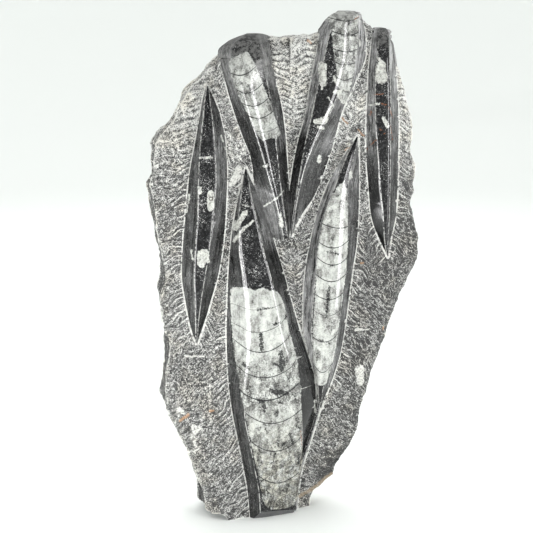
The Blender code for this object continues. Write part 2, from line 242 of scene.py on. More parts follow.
def shoulder_outline():
    """The outline that the shoulders are measured from, without the corner and the saw cut."""
    upper = [p for p in OUTLINE if p[1] >= 17 or p[0] > 0]
    return [(CORNER_X, -SHOULDER_DEPTH)] + upper[:-1] + [(19.0, -SHOULDER_DEPTH)]


def edge_distance(x, z, outline):
    """Distance of each point from a closed outline, in millimetres."""
    corners = np.array(outline, float)
    ends = np.roll(corners, -1, axis=0)
    best = np.full(len(x), 1e9)
    for (ax, az), (bx, bz) in zip(corners, ends):
        dx, dz = bx - ax, bz - az
        along = np.clip(((x - ax) * dx + (z - az) * dz) / (dx * dx + dz * dz), 0.0, 1.0)
        best = np.minimum(best, np.hypot(x - ax - along * dx, z - az - along * dz))
    return best


def ground_plane(x, z):
    """How far the plane of the ground lies in front of the middle, in millimetres."""
    lean = FRONT_AT_BASE - FRONT_TAPER * z / SLAB_HEIGHT
    turn = 1.0 - smooth_step(z / TURN_TOP)
    return lean - TURN_SLOPE * np.maximum(x - TURN_FROM_X, 0.0) * turn


def front_level(x, z):
    plane = ground_plane(x, z)
    shoulder = np.where(x < 0, SHOULDER_LEFT, SHOULDER_RIGHT)
    edge = np.minimum(EDGE_HALF, plane)
    rise = quarter_round(edge_distance(x, z, shoulder_outline()) / shoulder)
    return edge + (plane - edge) * rise


def back_level(x, z):
    plane = BACK_UPPER + BACK_FOOT * np.exp(-np.maximum(z, 0.0) / BACK_FOOT_REACH)
    rise = quarter_round(edge_distance(x, z, shoulder_outline()) / SHOULDER_BACK)
    return EDGE_HALF + (plane - EDGE_HALF) * rise


print("outline points:", len(OUTLINE))

# %% [markdown]
# ## The shells' sizes
# Each shell is a long ridge with two sloping sides and a flat crown. It is described by
# stations up its length: the height z, where the left foot, the left ridge, the right ridge
# and the right foot are in x, and how far the ridges stand out of the ground. Between the
# stations the values follow a smooth curve that never swings past them.

# %% Stations of the shells, in millimetres
SHELLS = {
    "left": [
        (131, -66.8, -66.6, -66.2, -66.0, 0.3), (140, -70.2, -67.1, -66.5, -62.5, 3.0),
        (160, -73.9, -67.6, -64.8, -56.6, 6.0), (180, -76.0, -68.3, -61.7, -51.1, 7.5),
        (200, -75.2, -67.3, -58.4, -47.6, 8.0), (220, -73.5, -65.7, -56.1, -45.4, 8.0),
        (250, -70.1, -64.4, -53.2, -44.3, 8.0), (270, -66.2, -63.0, -53.9, -45.2, 7.5),
        (290, -62.3, -60.4, -55.3, -48.7, 5.5), (300, -60.5, -59.1, -56.3, -51.9, 3.5),
        (310, -57.4, -57.1, -56.7, -56.4, 0.3),
    ],
    "top_left": [
        (203, -12.0, -5.0, -3.0, -1.0, 3.0), (210, -15.0, -6.5, -4.0, -0.4, 5.9),
        (220, -18.5, -8.5, -5.5, -0.4, 6.9), (230, -22.0, -11.0, -7.0, -0.6, 7.6),
        (240, -25.5, -14.0, -8.2, -1.2, 8.1), (250, -26.0, -17.0, -9.5, -1.9, 8.4),
        (262, -28.0, -20.5, -10.6, -2.8, 8.6), (275, -33.0, -24.5, -12.0, -3.6, 8.8),
        (290, -38.4, -29.5, -13.6, -5.4, 9.0), (310, -44.2, -34.9, -17.0, -9.9, 9.0),
        (325, -47.0, -38.5, -20.5, -14.3, 8.0), (333, -46.5, -39.0, -22.5, -15.8, 5.4),
        (338.5, -40.5, -35.5, -23.5, -15.6, 1.0), (342, -33.5, -30.0, -23.5, -16.3, -6.0),
        (344, -26.0, -25.0, -22.0, -19.0, -14.0),
    ],
    "main": [
        (-8, -28.0, -21.5, 3.0, 4.5, 9.0), (20, -30.5, -23.1, 5.0, 7.0, 10.0),
        (40, -34.1, -26.7, 6.8, 10.5, 11.0), (60, -38.0, -30.5, 6.8, 15.5, 11.5),
        (80, -41.8, -34.3, 5.6, 19.5, 12.0), (100, -44.1, -35.0, 2.7, 18.0, 12.0),
        (120, -45.3, -32.4, -2.7, 12.4, 12.0), (140, -45.9, -30.9, -8.3, 6.0, 11.5),
        (160, -45.1, -31.7, -11.9, 0.1, 11.0), (180, -43.9, -34.5, -16.4, -5.3, 10.0),
        (200, -42.2, -37.0, -21.5, -11.3, 8.5), (220, -39.3, -36.5, -25.6, -17.4, 6.5),
        (240, -35.0, -34.1, -29.5, -24.5, 3.5), (254, -31.5, -31.3, -31.0, -30.7, 0.3),
    ],
    "top_right": [
        (205, -0.8, 0.6, 0.8, 1.5, 0.3), (215, -1.4, 1.0, 1.4, 6.0, 2.0),
        (230, -1.2, 2.8, 3.2, 15.0, 4.5), (250, 1.2, 5.8, 7.2, 23.3, 7.0),
        (270, 5.0, 9.1, 14.4, 30.5, 8.5), (290, 10.6, 13.7, 25.3, 36.0, 9.0),
        (310, 13.9, 17.9, 32.7, 44.9, 9.0), (330, 17.9, 22.5, 36.5, 52.4, 9.0),
        (340, 20.2, 24.6, 38.3, 52.5, 9.1), (349, 23.6, 27.6, 39.4, 52.0, 9.1),
        (353.5, 26.5, 30.2, 40.2, 50.6, 8.7), (356.7, 30.5, 33.2, 41.0, 48.6, 5.0),
        (359, 36.0, 37.5, 42.5, 45.0, -9.0),
    ],
    "right": [
        (187.5, 69.6, 69.9, 70.2, 70.5, 0.3), (200, 63.6, 67.0, 68.5, 71.9, 3.5),
        (220, 57.2, 64.8, 68.7, 75.4, 6.0), (240, 55.1, 62.3, 68.7, 76.5, 7.0),
        (260, 53.4, 60.6, 68.7, 76.8, 7.5), (280, 53.1, 58.9, 68.4, 76.7, 7.5),
        (300, 53.7, 58.3, 68.2, 75.8, 7.5), (320, 54.8, 58.8, 67.6, 74.6, 7.0),
        (331, 56.0, 59.8, 67.4, 74.0, 6.2), (338, 57.0, 60.6, 67.4, 72.8, 4.6),
        (343, 58.6, 62.0, 67.0, 71.2, 1.8), (346, 60.6, 63.2, 66.4, 69.2, -2.4),
        (347.5, 63.0, 64.2, 65.8, 67.2, -8.0),
    ],
    "middle": [
        (77, 23.2, 23.4, 23.8, 24.1, 0.3), (90, 20.5, 21.0, 22.8, 27.7, 3.5),
        (100, 18.5, 19.8, 23.8, 30.8, 5.0), (120, 13.5, 15.8, 27.0, 35.8, 7.5),
        (140, 9.0, 13.7, 29.8, 39.2, 9.0), (160, 9.1, 14.7, 32.3, 41.9, 9.5),
        (180, 10.6, 16.5, 34.1, 44.5, 9.5), (200, 14.1, 18.6, 35.3, 47.2, 9.0),
        (220, 18.8, 23.3, 36.7, 48.2, 8.5), (240, 26.3, 30.3, 38.4, 48.5, 7.5),
        (260, 37.5, 39.0, 43.3, 48.3, 4.5), (274.6, 47.0, 47.3, 47.7, 48.0, 0.3),
    ],
    "lower_bevel": [
        (-8, 2.0, 5.0, 5.8, 8.0, 3.0), (10, 3.0, 5.8, 6.6, 8.8, 3.0),
        (30, 5.5, 8.2, 9.2, 11.4, 3.0), (50, 10.0, 13.2, 14.4, 16.8, 3.0),
        (70, 15.0, 18.6, 19.8, 21.8, 2.5), (86, 19.5, 21.8, 23.0, 25.5, 1.0),
    ],
}


def slopes_between(t, values):
    """Tangents for a curve through the values that never swings past them."""
    steps = np.diff(values) / np.diff(t)
    slopes = np.zeros_like(values)
    slopes[0], slopes[-1] = steps[0], steps[-1]
    same_way = steps[:-1] * steps[1:] > 0
    together = np.where(same_way, steps[:-1] + steps[1:], 1.0)
    slopes[1:-1] = np.where(same_way, 2.0 * steps[:-1] * steps[1:] / together, 0.0)
    return slopes


def smooth_values(t, values, at):
    """The values of one column at the places `at`, along that curve."""
    slopes = slopes_between(t, values)
    low = np.clip(np.searchsorted(t, at, side="right") - 1, 0, len(t) - 2)
    span = t[low + 1] - t[low]
    u = (at - t[low]) / span
    return (
        (2 * u**3 - 3 * u**2 + 1) * values[low] + (u**3 - 2 * u**2 + u) * span * slopes[low]
        + (3 * u**2 - 2 * u**3) * values[low + 1] + (u**3 - u**2) * span * slopes[low + 1]
    )


def shell_rows(name, count):
    """Rows like the stations, evenly spread along the shell from its lower to its upper end."""
    table = np.array(SHELLS[name], float)
    t = np.concatenate([[0.0], np.cumsum(np.hypot(np.diff(table[:, 0]), np.diff(table[:, 5])))])
    at = np.linspace(0.0, t[-1], count)
    return np.stack([smooth_values(t, table[:, k], at) for k in range(6)], axis=1)


print("shells:", {name: len(rows) for name, rows in SHELLS.items()})

# %% [markdown]
# ## The rock, blocked out
# The rock starts as a flat plate of the outline's shape: a disc whose rim points are put on
# the outline, extruded to a thickness. A remesh then turns it into small even faces, fine
# enough to carve, and its front and back are pushed out to their rounded shape. Carving a
# million chips by hand isn't possible, so after this step the points are moved by formulas.

# %% Rock blank
FINE_VOXEL = 1.0


def read(rows, key, width=3, kind=float):
    """One value of every row in a mesh's list of points, edges or faces, as an array."""
    values = np.empty(len(rows) * width, kind)
    rows.foreach_get(key, values)
    return values.reshape(-1, width)


def read_points(mesh):
    """The points of a mesh in millimetres."""
    return read(mesh.vertices, "co") / MM


def write_points(mesh, points):
    mesh.vertices.foreach_set("co", (points * MM).ravel())
    mesh.update()


def outwards():
    """In edit mode, turns every face of the active object to the outside, and leaves it."""
    bpy.ops.mesh.select_all(action="SELECT")
    bpy.ops.mesh.normals_make_consistent(inside=False)
    bpy.ops.object.mode_set(mode="OBJECT")


def block(name, rim, push):
    """A disc whose rim is laid on these points, pushed out to a block along `push`."""
    bpy.ops.object.select_all(action="DESELECT")
    bpy.ops.mesh.primitive_circle_add(vertices=len(rim), radius=0.1, fill_type="NGON")
    made = bpy.context.object
    made.name = name
    write_points(made.data, np.array(rim, float))
    bpy.ops.object.mode_set(mode="EDIT")
    bpy.ops.mesh.select_all(action="SELECT")
    bpy.ops.mesh.extrude_region_move(TRANSFORM_OT_translate={"value": [p * MM for p in push]})
    outwards()
    return made


rim = [(x, -BLANK_HALF, z) for x, z in OUTLINE]
rock = block("fossil_stone", rim, (0.0, 2 * BLANK_HALF, 0.0))
remesh = rock.modifiers.new("even_faces", "REMESH")
remesh.mode = "VOXEL"
remesh.voxel_size = FINE_VOXEL * MM
bpy.ops.object.modifier_apply(modifier=remesh.name)

points = read_points(rock.data)
share = points[:, 1] / BLANK_HALF
front = front_level(points[:, 0], points[:, 2])
back = back_level(points[:, 0], points[:, 2])
points[:, 1] = np.where(share < 0, share * front, share * back)
write_points(rock.data, points)
print("rock blank:", len(points), "points")

# %% [markdown]
# ## Where the chisel went
# On the real stone the chisel marks run away from the polished shells, a little downwards,
# like the teeth of a comb. So each point of the ground needs to know how far it is from the
# nearest shell's foot, and how far along that foot it lies. Both are measured here.

# %% Distance from the shells' feet
FOOT_POINTS = 60
MARK_SLANT = 0.55
STROKE_PITCH = 4.3
PITCH_WAVE = 10.0
PITCH_WOBBLE = 1.0
MEET_FADE = 6.0
TIP_FADE = 2.5


def foot_lines():
    """The left and the right foot of each shell, as rows of x and z in millimetres."""
    lines = []
    for name in SHELLS:
        rows = shell_rows(name, FOOT_POINTS)
        lines.append(rows[:, [1, 0]])
        lines.append(rows[:, [4, 0]])
    return lines


def comb_coordinates(x, z):
    """For each point: the distance from the nearest foot, the place along it slanted as the
    marks are, a number that says which foot it is, the width of the gap between the two
    nearest shells, and how far the point lies past a foot's end."""
    best = np.full(len(x), 1e9)
    along = np.zeros(len(x))
    which = np.zeros(len(x))
    past = np.zeros(len(x))
    shell_away = np.full((len(SHELLS), len(x)), 1e9)
    for number, line in enumerate(foot_lines()):
        run = 0.0
        pairs = [(a, b) for a, b in zip(line[:-1], line[1:]) if math.dist(a, b) > 1e-6]
        for step, ((ax, az), (bx, bz)) in enumerate(pairs):
            dx, dz = bx - ax, bz - az
            length = math.hypot(dx, dz)
            share = ((x - ax) * dx + (z - az) * dz) / length**2
            t = np.clip(share, 0.0, 1.0)
            over = np.maximum(-share, 0.0) * (step == 0)
            over += np.maximum(share - 1.0, 0.0) * (step == len(pairs) - 1)
            away = np.hypot(x - ax - t * dx, z - az - t * dz)
            nearer = away < best
            best = np.where(nearer, away, best)
            along = np.where(nearer, run + t * length, along)
            which = np.where(nearer, number, which)
            past = np.where(nearer, over * length, past)
            shell_away[number // 2] = np.minimum(shell_away[number // 2], away)
            run += length
    two_nearest = np.sort(shell_away, axis=0)[:2].sum(axis=0)
    return best, along + MARK_SLANT * best, which, two_nearest, past


def stroke_phases(x, z, place_along, number):
    """A number that grows by 1 from each chisel stroke to the next, unevenly."""
    wobble = np.array([
        noise.noise(Vector((px / PITCH_WAVE, pz / PITCH_WAVE, 4.4))) for px, pz in zip(x, z)
    ])
    return place_along / STROKE_PITCH + 2.3 * number + PITCH_WOBBLE * wobble


points = read_points(rock.data)
foot_away, comb_place, comb_number, comb_gap, comb_past = comb_coordinates(
    points[:, 0], points[:, 2])
stroke_phase = stroke_phases(points[:, 0], points[:, 2], comb_place, comb_number)
between = smooth_step((comb_gap - 2.0 * foot_away - 0.5) / MEET_FADE)
between *= 1.0 - smooth_step(comb_past / TIP_FADE)
print("furthest ground from a shell:", round(float(foot_away.max()), 1), "mm")

# %% [markdown]
# ## Breaking and chiselling the surface
# Broken limestone is a field of shallow scoops that meet in sharp ridges, at several sizes.
# A Voronoi pattern has that form: the square of the distance to the nearest cell's centre is
# a round hollow with a ridge all round it. On the sides the thin beds of the rock show as
# steps. On the front the chisel adds the comb of strokes and small pecks over the scoops.

# %% Chips, beds, strokes and pecks
CHIP_SIZES = ((30.0, 5.0), (12.0, 2.4))
CHISEL_SIZES = ((13.0, 2.2), (6.5, 1.4))
FINE_CHIP_SIZES = ((5.0, 0.9), (2.6, 0.5))
PECK_SIZES = ((3.4, 0.6), (2.0, 0.5))
SCOOP_MIDDLE = 0.45
SWELL = (60.0, 2.2)
WARP = (24.0, 7.0)
BED_THICKNESS = 8.0
BED_STEP = 0.7
BED_WAVE = 45.0
BED_SLOPE_SHARE = 0.25
STROKE_DEPTH = 1.05
STROKE_HOLLOW = 0.30
STROKE_HALF = 0.28
STROKE_REACH = 12.0
CALM_FROM = 0.6
CALM_REACH = 5.0
CALM_SHARE = 0.04


def drift(spot):
    """A smooth random shift of a place, each way between -1 and 1."""
    return Vector([noise.noise(spot + Vector((7.3 * axis, 0.0, 2.1))) for axis in range(3)])


def scoops(place, layers, shift):
    """Chips knocked off a surface: round hollows that meet in sharp ridges, in millimetres."""
    depth = 0.0
    for number, (size, reach) in enumerate(layers):
        spot = place / size + Vector((shift, 3.7 * number, 1.3))
        near = noise.voronoi(spot)[0][0]
        depth += reach * (min(near, 1.0) ** 2 - SCOOP_MIDDLE)
    return depth


def beds(place):
    """The stone's thin beds, parallel to its front, which break off at different depths."""
    layer = place.y / BED_THICKNESS + 0.7 * noise.noise(place / BED_WAVE)
    lower = math.floor(layer)
    blend = float(smooth_step((layer - lower - 1.0 + BED_SLOPE_SHARE) / BED_SLOPE_SHARE))
    here = noise.cell(Vector((lower * 3.1, 0.5, 0.5)))
    after = noise.cell(Vector(((lower + 1) * 3.1, 0.5, 0.5)))
    return BED_STEP * (2.0 * (here + (after - here) * blend) - 1.0)


def strokes(away, phase):
    """The comb of chisel strokes: a hollow below each crest, deepest next to the shells."""
    from_hollow = abs(phase % 1.0 - STROKE_HOLLOW) / STROKE_HALF
    hollow = max(0.0, 1.0 - from_hollow) ** 0.8
    return STROKE_DEPTH * (0.4 - hollow) * math.exp(-away / STROKE_REACH)


points = read_points(rock.data)
normals = read(rock.data.vertices, "normal")
facing = smooth_step((-normals[:, 1] - 0.35) / 0.4)
kept = smooth_step((points[:, 2] + 0.7 * BELOW_CUT) / (0.7 * BELOW_CUT))
calm = CALM_SHARE + (1.0 - CALM_SHARE) * smooth_step((foot_away - CALM_FROM) / CALM_REACH)
moves = np.zeros(len(points))
for i, (point, normal) in enumerate(zip(points, normals)):
    place = Vector(point)
    warped = place + WARP[1] * drift(place / WARP[0])
    moves[i] = SWELL[1] * noise.noise(place / SWELL[0]) * (1.0 - 0.7 * facing[i])
    if facing[i] < 1.0:
        rough = scoops(warped, CHIP_SIZES, 0.4) + scoops(place, FINE_CHIP_SIZES, 4.2)
        rough += (1.0 - abs(normal[1])) * beds(place)
        moves[i] += rough * (1.0 - facing[i])
    if facing[i] > 0.0:
        chiselled = scoops(warped, CHISEL_SIZES, 8.6) + scoops(place, PECK_SIZES, 2.9)
        cut = strokes(foot_away[i], stroke_phase[i])
        moves[i] += (chiselled + cut * between[i]) * calm[i] * facing[i]
write_points(rock.data, points + normals * (moves * kept)[:, None])
print("deepest chip", round(float(moves.min()), 1), "mm, highest", round(float(moves.max()), 1))

# %% [markdown]
# ## Fewer faces where the camera seldom looks
# The finest faces are only needed on the front. In edit mode the back and the side faces are
# selected by their normals, and the decimate operator thins what is selected and no more.

# %% Thin the back
BACK_KEEP = 0.32
THIN_NORMAL_Y = 0.2

thin = read(rock.data.polygons, "normal")[:, 1] > THIN_NORMAL_Y
pick(rock)
bpy.ops.object.mode_set(mode="EDIT")
bpy.ops.mesh.select_mode(type="FACE")
bpy.ops.mesh.select_all(action="DESELECT")
bpy.ops.object.mode_set(mode="OBJECT")
rock.data.polygons.foreach_set("select", thin)
bpy.ops.object.mode_set(mode="EDIT")
bpy.ops.mesh.decimate(ratio=BACK_KEEP)
bpy.ops.object.mode_set(mode="OBJECT")
print("rock:", len(rock.data.polygons), "faces after thinning")

# %% [markdown]
# ## The shells
# A UV sphere is a good start for a long pointed body: its rings become the sections and its
# two poles the tips. Each ring is laid on one section of the shell: up the left side, round
# the left ridge, over the crown, round the right ridge, down the right side and back through
# the rock. The ridges are rounded, since a perfectly sharp edge mirrors no light.

# %% Shell bodies
FOOT_DEPTH = 3.0
FOOT_STRETCH = 1.6
LEAST_RISE = 0.2
ROOT_DEPTH = 8.0
ROOT_SHARE = 0.6
RING_STEP = 1.75
WAVER = 0.02
WAVER_TURN = 0.5
RIDGE_POINTS = 10
CROWN_POINTS = 11
SECTION_POINTS = 2 * RIDGE_POINTS + CROWN_POINTS + 7
PATH_STEPS = 54
TURN_SHARE = 0.16
CROWN_LIMIT = 0.45
SIDE_LIMIT = 0.6

# The left and the right ridge are ground to narrow faces. Each is given as how far it is
# turned away from the crown, in degrees, and how wide it is, in millimetres. "left_wide" and
# "right_wide" scale those widths by height. The crown's turn to the right is given in degrees
# at shares of its width, "spots" puts its points closer where it turns, and "cap" is the
# height where the section starts to become an ellipse and the height where it is one. "dull" is
# where the polish starts to turn dull towards the upper end, and where it is.
SHELL_FORMS = {
    "left": {"left": [(26, 0.9)], "right": [(12.5, 1.5), (30, 0.9)], "crown": [(0, -2), (1, 4)]},
    "top_left": {
        "left": [(26, 1.2)], "right": [(30, 1.5)],
        "crown": [(0, -3), (0.21, -2), (0.25, 12.5), (0.36, 12.5), (0.41, 18), (1, 19)],
        "spots": (0.1, 0.19, 0.23, 0.26, 0.30, 0.35, 0.38, 0.43, 0.56, 0.7, 0.85),
        "cap": (308, 334), "dull": (308, 326),
    },
    "main": {
        "left": [(27, 4.3)], "right": [(12.5, 1.2), (30, 0.9)], "crown": [(0, -3), (1, 4)],
        "left_wide": [(-8, 0.4), (110, 0.6), (150, 1.0), (185, 1.1), (215, 0.5), (254, 0.3)],
    },
    "top_right": {
        "left": [(26, 1.0)], "right": [(12.5, 3.4), (30, 3.6)], "crown": [(0, -2), (1, 5)],
        "right_wide": [(205, 0.4), (262, 0.45), (290, 0.8), (310, 1.0), (357.5, 1.0)],
        "cap": (351, 357), "dull": (353, 357),
    },
    "right": {
        "left": [(31, 3.0)], "right": [(12.5, 0.9), (30, 0.8)], "crown": [(0, -3), (1, 5)],
        "left_wide": [(187, 0.3), (215, 0.6), (240, 0.9), (262, 0.35), (347, 0.2)],
        "cap": (334, 346), "dull": (330, 342),
    },
    "middle": {
        "left": [(26, 1.1)], "right": [(12.5, 3.2), (30, 1.1)], "crown": [(0, -2), (1, 4)],
        "right_wide": [(77, 0.35), (130, 0.6), (190, 1.0), (225, 1.5), (275, 1.0)],
    },
    "lower_bevel": {"left": [(30, 0.6)], "right": [(30, 0.6)], "crown": [(0, 0), (1, 0)]},
}


def face_angles(faces, crown_angle, side_angle, steps):
    """The turn of a ridge at even steps along it, from the crown over its faces to the side."""
    widths = np.array([width for _, width in faces], float)
    ends = np.concatenate([[0.0], np.cumsum(widths)]) / widths.sum()
    turn = TURN_SHARE * min(widths) / widths.sum()
    at = [0.0]
    for start, end in zip(ends[:-1], ends[1:]):
        at += [start + turn, end - turn]
    at.append(1.0)
    count = len(crown_angle)
    angles = [crown_angle]
    for degrees, _ in faces:
        angles += [np.full(count, math.radians(degrees))] * 2
    angles.append(side_angle)
    middle = (np.arange(steps) + 0.5) / steps
    table = np.stack(angles, axis=1)
    return np.array([np.interp(middle, at, row) for row in np.maximum.accumulate(table, axis=1)])


def ridge_faces(corner, crown_way, side_way, mirror, faces, scale, limits):
    """Points of a ground ridge, from the crown to the side, for every ring of a shell."""
    crown_angle = np.arctan2(-crown_way[:, 1], mirror * crown_way[:, 0])
    side_angle = np.arctan2(-side_way[:, 1], mirror * side_way[:, 0])
    angles = face_angles(faces, crown_angle, side_angle, PATH_STEPS)
    ways = np.stack([mirror * np.cos(angles), -np.sin(angles)], axis=2)
    length = scale * sum(width for _, width in faces) / PATH_STEPS
    path = np.cumsum(ways, axis=1) * length[:, None, None]
    path = np.concatenate([np.zeros((len(path), 1, 2)), path], axis=1)
    run = path[:, -1]
    det = crown_way[:, 0] * side_way[:, 1] - crown_way[:, 1] * side_way[:, 0]
    back = (run[:, 0] * side_way[:, 1] - run[:, 1] * side_way[:, 0]) / det
    down = (crown_way[:, 0] * run[:, 1] - crown_way[:, 1] * run[:, 0]) / det
    crown_limit, side_limit = limits
    fit = np.minimum(1.0, np.minimum(
        crown_limit / np.maximum(back, 1e-6), side_limit / np.maximum(down, 1e-6)))
    start = corner - crown_way * (back * fit)[:, None]
    pick_steps = np.rint(np.linspace(0, PATH_STEPS, RIDGE_POINTS)).astype(int)
    return start[:, None] + path[:, pick_steps] * fit[:, None, None]


def crown_drop(knots, share):
    """How far the crown has dropped at shares of its width, as a share of the whole width."""
    fine = np.linspace(0.0, 1.0, 201)
    slope = np.tan(np.radians(np.interp(fine, *zip(*knots))))
    drop = np.concatenate([[0.0], np.cumsum((slope[1:] + slope[:-1]) / 2) / 200])
    return np.interp(share, fine, drop)


def ways_between(start, end):
    run = end - start
    length = np.maximum(np.linalg.norm(run, axis=1), 1e-6)
    return run / length[:, None], length


def rounded_cap(over, z, low, high):
    """The sections near a shell's upper end, turned into half ellipses."""
    share = smooth_step((z - low) / (high - low))[:, None]
    first, last = over[:, 0], over[:, -1]
    middle, half = (first[:, 0] + last[:, 0]) / 2, (last[:, 0] - first[:, 0]) / 2
    across = np.clip((over[:, :, 0] - middle[:, None]) / half[:, None], -1.0, 1.0)
    foot_out = first[:, 1:2] + (last[:, 1] - first[:, 1])[:, None] * (across + 1) / 2
    rise = (over[:, :, 1].max(axis=1) - (first[:, 1] + last[:, 1]) / 2)[:, None]
    round_out = foot_out + rise * np.sqrt(np.maximum(1.0 - across**2, 0.0))
    capped = over.copy()
    capped[:, :, 1] += (round_out - over[:, :, 1]) * share
    return capped


def shell_sections(rows, form):
    """All sections of a shell, as an array of rings of (x, out) in millimetres."""
    z = rows[:, 0]
    height = rows[:, 5] + WAVER * np.sin(WAVER_TURN * z)
    corner, foot, side_ways, side_lengths = [], [], [], []
    whole_drop = (rows[:, 3] - rows[:, 2]) * crown_drop(form["crown"], 1.0)
    for side in (0, 1):
        foot_x, ridge_x = rows[:, 1 + 3 * side], rows[:, 2 + side]
        ridge_out = ground_plane(ridge_x, z) + height - side * whole_drop
        foot_out = np.minimum(front_level(foot_x, z), ridge_out - LEAST_RISE)
        past = 1.0 + FOOT_DEPTH / (ridge_out - foot_out)
        deep_x = ridge_x + (foot_x - ridge_x) * np.minimum(past, FOOT_STRETCH)
        deep_out = ridge_out - (ridge_out - foot_out) * past
        corner.append(np.stack([ridge_x, ridge_out], axis=1))
        foot.append(np.stack([deep_x, deep_out], axis=1))
        way, length = ways_between(corner[side], foot[side])
        side_ways.append(way)
        side_lengths.append(length)
    crown_way, crown_width = ways_between(corner[0], corner[1])
    ridges = []
    for side, name, mirror in ((0, "left", -1.0), (1, "right", 1.0)):
        end_turn = math.radians(form["crown"][-side][1]) * mirror
        tilt = np.arctan2(-crown_way[:, 1], crown_way[:, 0]) * mirror
        start_turn = np.maximum(tilt, end_turn)
        start_way = np.stack([mirror * np.cos(start_turn), -np.sin(start_turn)], axis=1)
        scale = np.ones(len(z))
        if name + "_wide" in form:
            scale = np.interp(z, *zip(*form[name + "_wide"]))
        limits = (CROWN_LIMIT * crown_width, SIDE_LIMIT * side_lengths[side])
        ridges.append(ridge_faces(
            corner[side], start_way, side_ways[side], mirror, form[name], scale, limits))
    left_round, right_round = ridges[0][:, ::-1], ridges[1]
    join = [left_round[:, -1], right_round[:, 0]]
    leave = [left_round[:, 0], right_round[:, -1]]
    u = np.array(form.get("spots", np.linspace(0.0, 1.0, CROWN_POINTS + 2)[1:-1]))
    crown = join[0][:, None] + (join[1] - join[0])[:, None] * u[None, :, None]
    bow = crown_drop(form["crown"], 1.0) * u - crown_drop(form["crown"], u)
    crown[:, :, 1] += (join[1] - join[0])[:, :1] * bow[None, :]
    middle_x = (foot[0][:, 0] + foot[1][:, 0]) / 2
    root_half = ROOT_SHARE * (foot[1][:, 0] - foot[0][:, 0]) / 2
    root_out = np.minimum(foot[0][:, 1], foot[1][:, 1]) - ROOT_DEPTH
    roots = [np.stack([middle_x + s * root_half, root_out], axis=1) for s in (1, 0, -1)]
    half_left, half_right = (foot[0] + leave[0]) / 2, (foot[1] + leave[1]) / 2
    over = np.concatenate([
        foot[0][:, None], half_left[:, None], left_round, crown, right_round,
        half_right[:, None], foot[1][:, None],
    ], axis=1)
    if "cap" in form:
        over = rounded_cap(over, z, *form["cap"])
    return np.concatenate([over, *[r[:, None] for r in roots]], axis=1)


def shell_body(name):
    table = np.array(SHELLS[name], float)
    length = float(np.hypot(np.diff(table[:, 0]), np.diff(table[:, 5])).sum())
    rings = round(length / RING_STEP)
    rows = shell_rows(name, rings + 1)[::-1]
    sections = shell_sections(rows, SHELL_FORMS[name])
    bpy.ops.object.select_all(action="DESELECT")
    bpy.ops.mesh.primitive_uv_sphere_add(segments=SECTION_POINTS, ring_count=rings, radius=1.0)
    body = bpy.context.object
    body.name = "shell_" + name
    ball = read(body.data.vertices, "co")
    ring = np.rint(np.arccos(np.clip(ball[:, 2], -1, 1)) / math.pi * rings).astype(int)
    turn = np.arctan2(ball[:, 1], ball[:, 0]) / (2 * math.pi) * SECTION_POINTS
    spot = np.rint(turn).astype(int) % SECTION_POINTS
    x_out = sections[ring, spot]
    for pole in (0, rings):
        x_out[ring == pole] = sections[pole].mean(axis=0)
    write_points(body.data, np.stack([x_out[:, 0], -x_out[:, 1], rows[ring, 0]], axis=1))
    bpy.ops.object.mode_set(mode="EDIT")
    outwards()
    return body


shells = [shell_body(name) for name in SHELLS]
print("shell faces:", {shell.name: len(shell.data.polygons) for shell in shells})

# %% [markdown]
# ## Joining shells and rock
# The stone is one piece, so the shells are joined to the rock with Boolean unions. Rock and
# shells carry the same three materials, and the shells' faces use the second. The union
# keeps that number on each face, which gives the exact line where the polish ends.

# %% Union
ROUGH, POLISHED, SAWN = 0, 1, 2
rough_stone = principled("rough_limestone", (0.2, 0.2, 0.19), 0.85)
polished_stone = principled("polished_limestone", (0.02, 0.02, 0.02), 0.12)
sawn_stone = principled("sawn_limestone", (0.07, 0.07, 0.07), 0.45)
FINISHES = [rough_stone, polished_stone, sawn_stone]


def dress(obj, index):
    for finish in FINISHES:
        obj.data.materials.append(finish)
    obj.data.polygons.foreach_set("material_index", [index] * len(obj.data.polygons))


def boolean(target, tool, operation):
    name = tool.name
    pick(target)
    step = target.modifiers.new(name, "BOOLEAN")
    step.operation = operation
    step.solver = "MANIFOLD"
    step.object = tool
    bpy.ops.object.modifier_apply(modifier=step.name)
    bpy.data.objects.remove(tool, do_unlink=True)
    print("after", name, len(target.data.polygons), "faces")


dress(rock, ROUGH)
for shell in shells:
    dress(shell, POLISHED)
    boolean(rock, shell, "UNION")

# %% [markdown]
# ## The saw cut and the ground bevel
# The foot is sawn flat, and its front edge is ground to a polished bevel that leans forward
# as it rises. The bevel is a block with the foot's front edge as one side, cut away with a
# Boolean. The saw cut is a bisect that fills the opening it leaves.

# %% Base
BASE_EDGE = [(-60, -24.5), (-43.5, -22.6), (-20, -21.2), (3, -15.6), (19, -5.0), (26, 2.0)]
BASE_BEVEL_LEAN = math.tan(math.radians(40.0))
BASE_BEVEL_HEIGHT = 30.0
BEVEL_REACH = 200.0

front_edge = [(x, y + BASE_BEVEL_LEAN * BELOW_CUT, -BELOW_CUT) for x, y in BASE_EDGE]
far_edge = [(x, -BEVEL_REACH, -BELOW_CUT) for x in (BASE_EDGE[-1][0], BASE_EDGE[0][0])]
rise = BASE_BEVEL_HEIGHT + BELOW_CUT
bevel = block("base_bevel", front_edge + far_edge, (0.0, -BASE_BEVEL_LEAN * rise, rise))
dress(bevel, SAWN)
boolean(rock, bevel, "DIFFERENCE")

